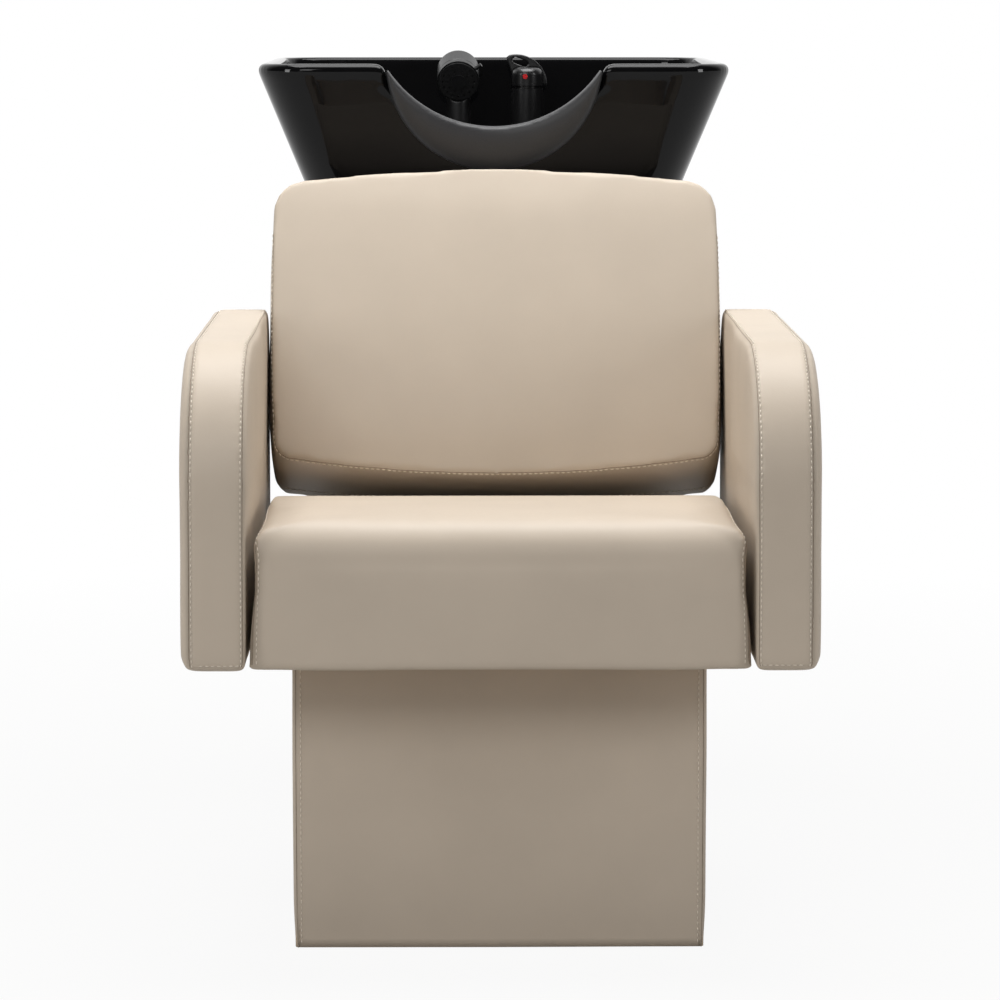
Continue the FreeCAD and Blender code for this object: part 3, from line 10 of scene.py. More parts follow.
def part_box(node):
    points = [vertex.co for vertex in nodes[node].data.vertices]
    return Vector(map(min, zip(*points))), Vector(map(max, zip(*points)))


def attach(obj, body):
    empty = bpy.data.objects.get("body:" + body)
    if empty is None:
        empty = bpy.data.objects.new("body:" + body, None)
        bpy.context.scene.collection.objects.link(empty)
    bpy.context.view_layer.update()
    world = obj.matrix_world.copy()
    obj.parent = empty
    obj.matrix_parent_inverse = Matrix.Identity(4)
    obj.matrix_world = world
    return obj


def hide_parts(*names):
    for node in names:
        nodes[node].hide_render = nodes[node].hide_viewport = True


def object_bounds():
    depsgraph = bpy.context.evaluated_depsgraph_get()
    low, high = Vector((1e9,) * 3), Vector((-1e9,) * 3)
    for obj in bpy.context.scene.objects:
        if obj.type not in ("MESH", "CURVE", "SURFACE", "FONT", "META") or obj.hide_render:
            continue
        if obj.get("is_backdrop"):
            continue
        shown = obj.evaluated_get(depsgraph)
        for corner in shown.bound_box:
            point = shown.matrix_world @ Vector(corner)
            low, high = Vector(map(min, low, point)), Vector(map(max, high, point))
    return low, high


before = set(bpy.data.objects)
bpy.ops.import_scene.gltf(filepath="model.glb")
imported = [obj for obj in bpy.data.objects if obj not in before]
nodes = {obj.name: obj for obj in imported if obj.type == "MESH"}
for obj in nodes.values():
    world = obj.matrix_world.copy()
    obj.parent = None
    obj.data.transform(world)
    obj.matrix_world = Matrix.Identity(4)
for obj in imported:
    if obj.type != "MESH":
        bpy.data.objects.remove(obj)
cad_low, cad_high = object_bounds()
scene = bpy.context.scene


# Studio
# A white floor that runs out of sight under a wide soft box overhead, with weak fill from the front and
# two tall strips at the sides, as a catalogue photographer lights upholstery and gloss black together.

def linear(hex_colour):
    """An sRGB hex colour as the linear RGBA that shaders take."""
    parts = [int(hex_colour[i:i + 2], 16) / 255 for i in (1, 3, 5)]
    return tuple(c / 12.92 if c <= 0.04045 else ((c + 0.055) / 1.055) ** 2.4 for c in parts) + (1.0,)


def add(tree, kind, settings=None, **links):
    """Adds one node, sets its properties and inputs, and links its inputs to other nodes' outputs."""
    made = tree.nodes.new(kind)
    for key, value in (settings or {}).items():
        if isinstance(key, str) and hasattr(made, key):
            setattr(made, key, value)
        else:
            made.inputs[key].default_value = value
    for key, output in links.items():
        place = int(key[1:]) if key[0] == "i" and key[1:].isdigit() else key.replace("_", " ")
        tree.links.new(output, made.inputs[place])
    return made


def ranged(tree, value, start, end, low, high):
    """A value between start and end, moved to between low and high."""
    ends = {"From Min": start, "From Max": end, "To Min": low, "To Max": high}
    return add(tree, "ShaderNodeMapRange", ends, Value=value).outputs[0]


world = bpy.data.worlds.new("studio_air")
scene.world = world
world.use_nodes = True
air = world.node_tree
air.nodes.clear()
path = add(air, "ShaderNodeLightPath")
# The white backdrop fills the half of the room behind the object, and gloss sees it there too
spot = add(air, "ShaderNodeTexCoord")
turned = add(air, "ShaderNodeSeparateXYZ", Vector=spot.outputs["Generated"])
behind = ranged(air, turned.outputs["Y"], 0.1, 0.5, 0.0, 1.0)
sheer = add(air, "ShaderNodeMath", {"operation": "MAXIMUM"}, i0=path.outputs["Is Glossy Ray"],
            i1=path.outputs["Is Transmission Ray"])
mirrored = add(air, "ShaderNodeMath", {"operation": "MULTIPLY"}, i0=behind, i1=sheer.outputs[0])
seen = add(air, "ShaderNodeMath", {"operation": "MAXIMUM"}, i0=path.outputs["Is Camera Ray"],
           i1=mirrored.outputs[0])
backdrop = add(air, "ShaderNodeBackground", {"Color": linear("#FFFFFF"), "Strength": 1.0})
room = add(air, "ShaderNodeBackground", {"Color": linear("#FFFCF8"), "Strength": 0.08})
choice = add(air, "ShaderNodeMixShader", Fac=seen.outputs[0], i1=room.outputs[0], i2=backdrop.outputs[0])
add(air, "ShaderNodeOutputWorld", Surface=choice.outputs[0])

FLOOR_REACH = 150.0
sweep = bmesh.new()
bmesh.ops.create_grid(sweep, x_segments=1, y_segments=1, size=FLOOR_REACH)
floor_mesh = bpy.data.meshes.new("studio_floor")
sweep.to_mesh(floor_mesh)
sweep.free()
studio_floor = bpy.data.objects.new("studio_floor", floor_mesh)
scene.collection.objects.link(studio_floor)
# Matte white paper: it takes a faint shadow near the object and goes to plain white further off
paper = bpy.data.materials.new("white_backdrop_paper")
paper.use_nodes = True
tree = paper.node_tree
tree.nodes.clear()
path = add(tree, "ShaderNodeLightPath")
spot = add(tree, "ShaderNodeTexCoord")
away = add(tree, "ShaderNodeVectorMath", {"operation": "LENGTH"}, i0=spot.outputs["Object"])
fade = ranged(tree, away.outputs["Value"], 0.6, 2.4, 0.93, 1.0)
sheer = add(tree, "ShaderNodeMath", {"operation": "MAXIMUM"}, i0=path.outputs["Is Glossy Ray"],
            i1=path.outputs["Is Transmission Ray"])
seen = add(tree, "ShaderNodeMath", {"operation": "MAXIMUM"}, i0=path.outputs["Is Camera Ray"],
           i1=sheer.outputs[0])
share = add(tree, "ShaderNodeMath", {"operation": "MULTIPLY"}, i0=fade, i1=seen.outputs[0])
matte = add(tree, "ShaderNodeBsdfDiffuse", {"Color": linear("#B8B6B3")})
glow = add(tree, "ShaderNodeEmission", {"Color": linear("#FFFFFF"), "Strength": 1.0})
mixed = add(tree, "ShaderNodeMixShader", Fac=share.outputs[0], i1=matte.outputs[0], i2=glow.outputs[0])
add(tree, "ShaderNodeOutputMaterial", Surface=mixed.outputs[0])
floor_mesh.materials.append(paper)
studio_floor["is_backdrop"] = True

for name, place, aim, width, height, power in (
        ("overhead_soft_box", (0.0, 0.20, 2.9), (0.0, 0.20, 0.5), 2.0, 1.7, 91.0),
        ("left_strip", (-2.6, -1.7, 1.3), (0.0, 0.3, 0.8), 0.35, 1.6, 22.0),
        ("right_strip", (2.6, -1.7, 1.3), (0.0, 0.3, 0.8), 0.35, 1.6, 22.0),
        ("front_soft_box", (-1.3, -3.7, 2.5), (0.0, 0.0, 0.5), 1.8, 1.2, 42.0)):
    lamp = bpy.data.lights.new(name, "AREA")
    lamp.shape = "RECTANGLE"
    lamp.size = width
    lamp.size_y = height
    lamp.energy = power
    holder = bpy.data.objects.new(name, lamp)
    holder.location = place
    holder.rotation_euler = (Vector(aim) - Vector(place)).to_track_quat("-Z", "Y").to_euler()
    scene.collection.objects.link(holder)

scene.view_settings.view_transform = "Standard"


# Camera
# A long lens from the front, a little above the rim's height, four metres from the arms and slightly to
# the left of the middle.

LENS_PIXELS = 4018.0
FRAME_PIXELS = 1000.0
SENSOR_WIDTH = 36.0
CAMERA_PLACE = (-0.048, -4.664, 1.0155)
CAMERA_DIP = 5.246
CAMERA_TURN = -0.66
CAMERA_SHIFT = -0.14
camera_data = bpy.data.cameras.new("photo_camera")
camera_data.sensor_width = SENSOR_WIDTH
camera_data.lens = LENS_PIXELS / FRAME_PIXELS * SENSOR_WIDTH
camera_data.shift_y = CAMERA_SHIFT
camera_data.clip_end = 2 * FLOOR_REACH
camera = bpy.data.objects.new("photo_camera", camera_data)
camera.location = CAMERA_PLACE
camera.rotation_euler = (math.radians(90 - CAMERA_DIP), 0.0, math.radians(CAMERA_TURN))
scene.collection.objects.link(camera)
scene.camera = camera


# Plywood boards
# Birch plywood, sawn and sanded: the board behind the pedestal's front and the boards inside the seat and
# the arms. The face veneer shows long soft grain with darker latewood lines.

def new_material(name):
    """A material with its node tree, its shader and the place on the object, in metres."""
    made = bpy.data.materials.new(name)
    made.use_nodes = True
    tree = made.node_tree
    return made, tree, tree.nodes["Principled BSDF"], add(tree, "ShaderNodeTexCoord").outputs["Object"]


def two_tones(tree, shader, value, dark, pale, start=0.0, end=1.0):
    """Colours a shader between two tones as a value goes from start to end."""
    tone = add(tree, "ShaderNodeValToRGB", Fac=value)
    first, last = tone.color_ramp.elements
    first.position, last.position = start, end
    first.color, last.color = linear(dark), linear(pale)
    tree.links.new(tone.outputs[0], shader.inputs["Base Color"])


def raised(tree, shader, height, strength, distance):
    """Gives a shader the relief of a height."""
    bump = add(tree, "ShaderNodeBump", {"Strength": strength, "Distance": distance}, Height=height)
    tree.links.new(bump.outputs[0], shader.inputs["Normal"])


def finish_nodes(material, *names):
    """Gives solids that keep their shape a finish."""
    for name in names:
        data = nodes[name].data
        data.materials.clear()
        data.materials.append(material)


birch, tree, shader, spot = new_material("sanded_birch_plywood")
# Veneer grain: lines 5 mm apart across the board, drawn out to 120 mm along it
drawn = add(tree, "ShaderNodeMapping", {"Scale": (1 / 0.005, 1 / 0.120, 1 / 0.005)}, Vector=spot)
grain = add(tree, "ShaderNodeTexNoise", {"Scale": 1.0, "Detail": 5.0, "Distortion": 0.6},
            Vector=drawn.outputs[0])
two_tones(tree, shader, grain.outputs["Fac"], "#B98F5C", "#DCBF92", 0.30, 0.70)
raised(tree, shader, grain.outputs["Fac"], 0.15, 0.0003)
shader.inputs["Roughness"].default_value = 0.62
finish_nodes(birch, "pedestal_front_board", "seat_board", "arm_left_board", "arm_right_board")


# Floor brackets, glides and fasteners
# Pressed angle brackets and all bolts and screws are zinc plated steel: a cool grey with faint cloudy
# spangle. The glides are moulded black polythene, pressed into the boards' lower edges.

def mottled(name, dark, pale, grain, roughness, metallic=0.0, relief=0.05, spread=0.06):
    """A finish that wanders between two near tones, its roughness and relief with it. Grain in metres."""
    made, tree, shader, spot = new_material(name)
    mottle = add(tree, "ShaderNodeTexNoise", {"Scale": 1 / grain, "Detail": 3.0}, Vector=spot)
    two_tones(tree, shader, mottle.outputs["Fac"], dark, pale, 0.32, 0.68)
    gloss = ranged(tree, mottle.outputs["Fac"], 0.3, 0.7, roughness - spread / 2, roughness + spread / 2)
    tree.links.new(gloss, shader.inputs["Roughness"])
    raised(tree, shader, mottle.outputs["Fac"], relief, 0.0003)
    shader.inputs["Metallic"].default_value = metallic
    return made


# Spangle of about 3 mm
zinc = mottled("zinc_plated_steel", "#9C9E9F", "#B9BAB8", 0.003, 0.34, metallic=1.0)
finish_nodes(zinc, "floor_brackets", "seat_bolts", "arm_bolts", "backrest_bolts", "column_cover_screws",
             "tilt_left_pin", "tilt_right_pin", "tilt_washers")
# Waxy moulded skin, 1.5 mm mottle
polythene = mottled("moulded_black_polythene", "#161617", "#1E1E1F", 0.0015, 0.48)
finish_nodes(polythene, "glides")


# Seat rails, crossbars and backrest brackets
# Square tube and flat bar, welded, drilled and powder coated black: an even fine orange peel.

powder_coat = mottled("black_powder_coat", "#151516", "#1F1F20", 0.0008, 0.50, relief=0.25)
finish_nodes(powder_coat, "seat_rails", "arm_crossbars", "backrest_left_bracket", "backrest_right_bracket")


# Pedestal cover
# A sleeve of taupe leatherette over a thin foam sheet, pulled round the box, stapled underneath and closed
# with a topstitched seam down each front corner. It sits slightly full and is drawn in at the foot.

def vinyl_material(name, hex_colour):
    """PVC leatherette: calendered smooth with a fine pore grain, softly shiny, with painted shade darkening
    its seams.
    """
    made, tree, shader, spot = new_material(name)
    # Cloudiness about 90 mm across, a few parts in a hundred of the colour
    cloud = add(tree, "ShaderNodeTexNoise", {"Scale": 1 / 0.09, "Detail": 3.0}, Vector=spot)
    shade = ranged(tree, cloud.outputs["Fac"], 0.3, 0.7, 0.97, 1.02)
    # Painted shade: the seams' colour is a third darker at their bottom, where the groove lies in shadow
    seam = add(tree, "ShaderNodeAttribute", {"attribute_name": "seam_groove_and_shade"})
    groove_shade = ranged(tree, seam.outputs["Fac"], 0.0, 1.0, 1.0, 0.66)
    both = add(tree, "ShaderNodeMath", {"operation": "MULTIPLY"}, i0=shade, i1=groove_shade)
    base = add(tree, "ShaderNodeMix", {"data_type": "RGBA", "blend_type": "MULTIPLY", 0: 1.0,
                                       6: linear(hex_colour)}, i7=both.outputs[0])
    tree.links.new(base.outputs[2], shader.inputs["Base Color"])
    # Pores 1.2 mm apart, with hair creases between them about 4 mm long
    pore = add(tree, "ShaderNodeTexVoronoi", {"Scale": 1 / 0.0012, "Randomness": 1.0}, Vector=spot)
    crease = add(tree, "ShaderNodeTexNoise", {"Scale": 1 / 0.004, "Detail": 4.0}, Vector=spot)
    relief = add(tree, "ShaderNodeMath", {"operation": "MULTIPLY_ADD", 1: 0.5},
                 i0=pore.outputs["Distance"], i2=crease.outputs["Fac"])
    raised(tree, shader, relief.outputs[0], 0.10, 0.0004)
    gloss = ranged(tree, crease.outputs["Fac"], 0.3, 0.7, 0.45, 0.52)
    tree.links.new(gloss, shader.inputs["Roughness"])
    shader.inputs["IOR"].default_value = 1.34
    return made


taupe_vinyl = vinyl_material("taupe_vinyl_leatherette", "#C3B6A6")


def new_piece(name, bm):
    """Turns a bmesh into a smooth-shaded object at the origin."""
    mesh = bpy.data.meshes.new(name)
    bm.to_mesh(mesh)
    bm.free()
    for face in mesh.polygons:
        face.use_smooth = True
    piece = bpy.data.objects.new(name, mesh)
    scene.collection.objects.link(piece)
    return piece


def applied(piece):
    """Works the piece's modifiers into its mesh and takes them off."""
    depsgraph = bpy.context.evaluated_depsgraph_get()
    piece.data = bpy.data.meshes.new_from_object(piece.evaluated_get(depsgraph))
    piece.modifiers.clear()
    for face in piece.data.polygons:
        face.use_smooth = True


def upholster(piece, node):
    """Gives a finished pad its cover and puts it in its solid's place."""
    piece.data.materials.clear()
    piece.data.materials.append(taupe_vinyl)
    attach(piece, "chair_frame")
    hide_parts(node)


def spaced(points, step):
    """Points at even steps along a line of straight runs."""
    out = [points[0].copy()]
    left = step
    for a, b in zip(points, points[1:]):
        run = (b - a).length
        at = left
        while at <= run:
            out.append(a.lerp(b, at / run))
            at += step
        left = at - run
    return out


def surface_of(piece):
    """A piece's surface, to look up the nearest place on it."""
    bm = bmesh.new()
    bm.from_mesh(piece.data)
    skin = BVHTree.FromBMesh(bm)
    bm.free()
    return skin


GROOVE_STEP = 0.002
SEAM_SHADOW_STEP = 0.003


def sink_seams(piece, runs, depth, width):
    """Draws the cover in along seam lines: a soft groove of the given depth and half width, and keeps its
    weight for the painted shade in the seams.
    """
    points = [p for run in runs for p in spaced(run, GROOVE_STEP)]
    lines = KDTree(len(points))
    for i, p in enumerate(points):
        lines.insert(p, i)
    lines.balance()
    piece.data.update()
    normals = [v.normal.copy() for v in piece.data.vertices]
    # The groove's weight is kept on the mesh; the vinyl darkens its colour by it, as painted shade in the
    # seams
    groove_shade = piece.data.attributes.new("seam_groove_and_shade", "FLOAT", "POINT")
    for vert, normal, mark in zip(piece.data.vertices, normals, groove_shade.data):
        gap = lines.find(vert.co)[2]
        mark.value = math.exp(-(gap / width) ** 2)
        vert.co -= normal * depth * mark.value
    piece.data.update()


# Corespun polyester thread, a shade lighter than the vinyl: twisted plies 0.8 mm apart, a dry soft lustre
thread, tree, shader, spot = new_material("pale_polyester_thread")
twist = add(tree, "ShaderNodeTexNoise", {"Scale": 1 / 0.0008, "Detail": 2.0}, Vector=spot)
two_tones(tree, shader, twist.outputs["Fac"], "#D2C6B5", "#F3EADD")
shader.inputs["Roughness"].default_value = 0.6
shader.inputs["Sheen Weight"].default_value = 0.2

STITCH_PITCH = 0.0062
STITCH_LENGTH = 0.0046
STITCH_RADIUS = 0.00062


def stitched(name, runs, piece):
    """Rows of stitches on a piece's surface: plump beads that dip into their needle holes at both ends."""
    skin = surface_of(piece)
    bm = bmesh.new()
    for run in runs:
        places = spaced(run, STITCH_PITCH)
        for a, b in zip(places, places[1:]):
            hit, normal, _, _ = skin.find_nearest((a + b) / 2)
            along = b - a
            along -= normal * along.dot(normal)
            if along.length < STITCH_RADIUS:
                continue
            along.normalize()
            turn = Matrix((along, normal.cross(along), normal)).transposed().to_4x4()
            turn.translation = hit + normal * STITCH_RADIUS * 0.5
            bead = bmesh.ops.create_icosphere(bm, subdivisions=1, radius=1.0)
            shape = Matrix.Diagonal((STITCH_LENGTH / 2, STITCH_RADIUS, STITCH_RADIUS, 1.0))
            bmesh.ops.transform(bm, matrix=turn @ shape, verts=bead["verts"])
    row = new_piece(name, bm)
    row.data.materials.append(thread)
    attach(row, "chair_frame")


# Painted shadow for the seam's own line, where the two panels meet and the light doesn't reach: a dark
# vinyl tone
seam_shadow = mottled("painted_seam_shadow", "#7A6D5E", "#8E8070", 0.004, 0.6)
SEAM_RADIUS = 0.0004


def seam_lines(name, runs, piece):
    """Painted shadow at the bottom of each seam: a thin dark tube laid on the cover where its crease is in
    shade.
    """
    skin = surface_of(piece)
    curve = bpy.data.curves.new(name, "CURVE")
    curve.dimensions = "3D"
    curve.bevel_depth = SEAM_RADIUS
    curve.bevel_resolution = 1
    curve.use_fill_caps = True
    for run in runs:
        places = [skin.find_nearest(p)[0] for p in spaced(run, SEAM_SHADOW_STEP)]
        spline = curve.splines.new("POLY")
        spline.points.add(len(places) - 1)
        for point, place in zip(spline.points, places):
            point.co = (*place, 1.0)
    drawn = bpy.data.objects.new(name, curve)
    scene.collection.objects.link(drawn)
    mesh = bpy.data.meshes.new_from_object(drawn.evaluated_get(bpy.context.evaluated_depsgraph_get()))
    bpy.data.objects.remove(drawn)
    bm = bmesh.new()
    bm.from_mesh(mesh)
    seam_shadow_tube = new_piece(name, bm)
    seam_shadow_tube.data.materials.clear()
    seam_shadow_tube.data.materials.append(seam_shadow)
    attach(seam_shadow_tube, "chair_frame")


low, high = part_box("pedestal_cover")
SLEEVE = 0.0024
SLEEVE_CORNER = 0.009
SLEEVE_SLACK = 0.0006
SLEEVE_DRAW_IN = 0.0022
SLEEVE_DRAW_HEIGHT = 0.10
SLEEVE_DRAW_MIDDLE = 0.35
SLEEVE_SEAM_INSET = 0.0030
SLEEVE_SEAM_FOOT = 0.003
SLEEVE_SEAM_HEAD = 0.002
SLEEVE_STITCH_GAP = 0.0065
TOUCHING = 1e-6
bm = bmesh.new()
bmesh.ops.create_grid(bm, x_segments=44, y_segments=32, size=0.5)
for vert in bm.verts:
    across, up = vert.co.x + 0.5, vert.co.y + 0.5
    vert.co = Vector((low.x + (high.x - low.x) * across, low.y, low.z + (high.z - low.z) * up))
edges = [e for e in bm.edges if e.is_boundary and abs(e.verts[0].co.x - e.verts[1].co.x) < TOUCHING]
grown = bmesh.ops.extrude_edge_only(bm, edges=edges)
moved = [g for g in grown["geom"] if isinstance(g, bmesh.types.BMVert)]
bmesh.ops.translate(bm, verts=moved, vec=(0.0, high.y - low.y, 0.0))
corners = [e for e in bm.edges
           if all(abs(v.co.y - low.y) < TOUCHING and abs(abs(v.co.x) - high.x) < TOUCHING for v in e.verts)]
bmesh.ops.bevel(bm, geom=corners, offset=SLEEVE_CORNER, offset_type="OFFSET", affect="EDGES", segments=5,
                profile=0.5, material=-1)
sides = [e for e in bm.edges if abs(e.verts[0].co.y - e.verts[1].co.y) > 0.2]
bmesh.ops.subdivide_edges(bm, edges=sides, cuts=40, use_grid_fill=True)
for vert in bm.verts:
    up = (vert.co.z - low.z) / (high.z - low.z)
    across = SLEEVE_DRAW_MIDDLE + (1 - SLEEVE_DRAW_MIDDLE) * abs(vert.co.x) / high.x
    draw = SLEEVE_DRAW_IN * math.exp(-(up / SLEEVE_DRAW_HEIGHT) ** 2) * across
    ripple = SLEEVE_SLACK * noise.noise(Vector((vert.co.x * 9, vert.co.y * 9, vert.co.z * 7)))
    if abs(vert.co.y - low.y) < 0.0005:
        vert.co.y += draw + ripple + SLEEVE_SLACK
    else:
        vert.co.x -= math.copysign(draw + ripple + SLEEVE_SLACK, vert.co.x)
bmesh.ops.recalc_face_normals(bm, faces=bm.faces)
sleeve = new_piece("pedestal_sleeve", bm)
thick = sleeve.modifiers.new("thickness", "SOLIDIFY")
thick.thickness = SLEEVE
thick.offset = -1.0
applied(sleeve)


def sleeve_line(side, inset):
    """A line up the sleeve's front, so far in from its side."""
    x = side * (high.x - inset)
    return [Vector((x, low.y, low.z + SLEEVE_SEAM_FOOT)), Vector((x, low.y, high.z - SLEEVE_SEAM_HEAD))]


seams = [sleeve_line(side, SLEEVE_SEAM_INSET) for side in (-1, 1)]
sink_seams(sleeve, seams, depth=0.0005, width=0.0025)
upholster(sleeve, "pedestal_cover")
stitched("pedestal_topstitch",
         [sleeve_line(side, SLEEVE_SEAM_INSET + SLEEVE_STITCH_GAP) for side in (-1, 1)], sleeve)
seam_lines("pedestal_seams", seams, sleeve)


# Seat cushion
# High-resilience foam on a board. One vinyl panel runs down the waterfall front, side panels are sewn on
# along its edges and topstitched, and the foam swells the cover between the arms.

FOAM_GRID = 0.0060
FOAM_DRAW_IN = 0.0010
SWELL_PRESSURE = 4.0
SWELL_STIFFNESS = 25
SWELL_FRAMES = 20
SWELL_ROUNDS = 25


def regridded(piece, voxel):
    """Rebuilds a piece's mesh on an even grid."""
    remesh = piece.modifiers.new("remesh", "REMESH")
    remesh.mode = "VOXEL"
    remesh.voxel_size = voxel
    applied(piece)


def eased(bm, rounds):
    """Evens out a mesh, so many times over."""
    for _ in range(rounds):
        bmesh.ops.smooth_vert(bm, verts=bm.verts, factor=0.5,
                              use_axis_x=True, use_axis_y=True, use_axis_z=True)


def held(value):
    """A value kept between 0 and 1."""
    return min(max(value, 0.0), 1.0)


def foam_filled(name, node, turn, cap, rounds):
    """Copies a cushion's solid, square to the grid, and swells it as foam does: cloth under pressure."""
    bm = bmesh.new()
    bm.from_mesh(nodes[node].data)
    bmesh.ops.remove_doubles(bm, verts=bm.verts, dist=1e-5)
    bmesh.ops.transform(bm, matrix=turn.inverted(), verts=bm.verts)
    piece = new_piece(name, bm)
    skin = surface_of(piece)
    regridded(piece, FOAM_GRID)
    bm = bmesh.new()
    bm.from_mesh(piece.data)
    for vert in bm.verts:
        vert.co = skin.find_nearest(vert.co)[0]
    eased(bm, rounds)
    bm.normal_update()
    for vert in bm.verts:
        vert.co -= vert.normal * FOAM_DRAW_IN
    bm.to_mesh(piece.data)
    bm.free()
    start = [v.co.copy() for v in piece.data.vertices]
    cloth = piece.modifiers.new("cloth", "CLOTH")
    cloth.settings.use_pressure = True
    cloth.settings.uniform_pressure_force = SWELL_PRESSURE
    cloth.settings.effector_weights.gravity = 0.0
    cloth.settings.quality = 4
    cloth.settings.tension_stiffness = SWELL_STIFFNESS
    cloth.settings.compression_stiffness = SWELL_STIFFNESS
    cloth.collision_settings.use_collision = False
    cloth.point_cache.frame_start = 1
    cloth.point_cache.frame_end = SWELL_FRAMES
    for step in range(1, SWELL_FRAMES + 1):
        scene.frame_set(step)
    applied(piece)
    scene.frame_set(1)
    # The swell is evened out, so that the cover stays taut and free of short ripples
    moves = bmesh.new()
    moves.from_mesh(piece.data)
    for vert, rest in zip(moves.verts, start):
        move = vert.co - rest
        vert.co = move.normalized() * cap * math.tanh(move.length / cap)
    eased(moves, SWELL_ROUNDS)
    for vert, rest, move in zip(piece.data.vertices, start, moves.verts):
        vert.co = rest + move.co
    moves.free()
    smooth = piece.modifiers.new("subdivision", "SUBSURF")
    smooth.levels = 1
    smooth.render_levels = 1
    applied(piece)
    # Stretched onto the solid's own extents, so it neither gapes nor meets its neighbours
    square = turn.inverted()
    solid = [square @ v.co for v in nodes[node].data.vertices]
    cover = [v.co.copy() for v in piece.data.vertices]
    for axis in range(3):
        least, most = min(p[axis] for p in cover), max(p[axis] for p in cover)
        low, high = min(p[axis] for p in solid), max(p[axis] for p in solid)
        for p in cover:
            p[axis] = low + (p[axis] - least) * (high - low) / (most - least)
    for vert, p in zip(piece.data.vertices, cover):
        vert.co = turn @ p
    piece.data.update()
    return piece


seat_low, seat_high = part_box("seat_cushion")
seat = foam_filled("seat_cushion_cover", "seat_cushion", Matrix.Identity(4), cap=0.0022, rounds=1)
# The sides stand full below mid height, are drawn in above it and fill out again at the shoulders
SEAT_SIDE_SWELL = 0.0016
SEAT_SHOULDER = 0.006
for vert in seat.data.vertices:
    up = (vert.co.z - seat_low.z) / (seat_high.z - seat_low.z)
    spread = SEAT_SIDE_SWELL * math.sin(2 * math.pi * up) + SEAT_SHOULDER * held(2 * up - 1)
    vert.co.x += spread * vert.co.x / seat_high.x
SEAT_SIDE_DRAW_IN = 0.003
SEAT_FRONT_ROUND = 0.036
SEAT_RAKE = 0.022
SEAT_CROWN = 0.008
SEAT_SEAM_INSET = 0.0005
SEAT_STITCH_INSET = 0.0070
# Where the seam stops short of the rear, passes the round and ends above the foot
SEAT_SEAM_REAR = 0.06
SEAT_SEAM_TOP = 0.02
SEAT_SEAM_HEM = 0.004
# How far behind the foremost point it runs on the round, below it, at mid height and at the foot
SEAT_BEHIND_ROUND = 0.003
SEAT_BEHIND_BEND = 0.004
SEAT_BEHIND_MIDDLE = 0.002
SEAT_BEHIND_FOOT = 0.003


def over_front(side, inset):
    """A line down the seat's edge: from the rear of the top, round the waterfall and down the front."""
    low, high = seat_low, seat_high
    shoulder = side * (high.x - SEAT_SIDE_DRAW_IN - inset)
    foot = side * (high.x - inset)
    bend = high.z - SEAT_CROWN - SEAT_FRONT_ROUND
    points = [Vector((shoulder, high.y - SEAT_SEAM_REAR, high.z - SEAT_CROWN - SEAT_RAKE)),
              Vector((shoulder, low.y + SEAT_FRONT_ROUND + SEAT_SEAM_TOP, high.z - SEAT_CROWN))]
    for turn in range(1, 6):
        angle = math.radians(90 - 15 * turn)
        behind = SEAT_FRONT_ROUND * (1 - math.cos(angle)) + SEAT_BEHIND_ROUND
        points.append(Vector((shoulder, low.y + behind, bend + SEAT_FRONT_ROUND * math.sin(angle))))
    points.append(Vector((shoulder, low.y + SEAT_BEHIND_BEND, bend)))
    points.append(Vector(((shoulder + foot) / 2, low.y + SEAT_BEHIND_MIDDLE, (bend + low.z) / 2)))
    points.append(Vector((foot, low.y + SEAT_BEHIND_FOOT, low.z + SEAT_SEAM_HEM)))
    return points


seat_edges = [over_front(side, SEAT_SEAM_INSET) for side in (-1, 1)]
sink_seams(seat, seat_edges, depth=0.0014, width=0.0035)
upholster(seat, "seat_cushion")
stitched("seat_topstitch", [over_front(side, SEAT_STITCH_INSET) for side in (-1, 1)], seat)
seam_lines("seat_seams", seat_edges, seat)


# Arms
# A board between foam pads. A strip of vinyl runs up the front, over the top and down the back, and the
# padded outer and inner panels are sewn to it with a topstitched seam on each side of the strip.

ARM_STRIP = 0.059
ARM_FRONT_ROUND = 0.150
ARM_REAR_ROUND = 0.045
ARM_FOOT_HEM = 0.007
ARM_INNER_SWELL = 0.005
ARM_INNER_SHOULDER = 0.007
ARM_INNER_DEPTH = 0.012
# The swell begins above the seat and ends before the backrest, each over a short run
ARM_SWELL_FOOT = 0.455
ARM_SWELL_RISE = 0.06
ARM_SWELL_REAR = 0.200
ARM_SWELL_RUN = 0.10
ARM_SEAM_FOOT = 0.003
ARM_SEAM_INSET = 0.0012
ARM_INNER_STITCH = 0.0048
ARM_OUTER_STITCH = 0.0026
ARM_HEM_INNER = 0.006
ARM_HEM_OUTER = 0.004
ARM_TURNS = 13
ARM_TURN_STEP = 7.5


def arm_profile(x, low, high):
    """The arm's outline in side view, from the front foot over the top to the rear foot."""
    points = [Vector((x, low.y, low.z + ARM_SEAM_FOOT))]
    for turn in range(ARM_TURNS):
        angle = math.radians(ARM_TURN_STEP * turn)
        points.append(Vector((x, low.y + ARM_FRONT_ROUND * (1 - math.cos(angle)),
                              high.z - ARM_FRONT_ROUND * (1 - math.sin(angle)))))
    for turn in range(ARM_TURNS):
        angle = math.radians(ARM_TURN_STEP * turn)
        points.append(Vector((x, high.y - ARM_REAR_ROUND * (1 - math.sin(angle)),
                              high.z - ARM_REAR_ROUND * (1 - math.cos(angle)))))
    points.append(Vector((x, high.y, low.z + ARM_SEAM_FOOT)))
    return points


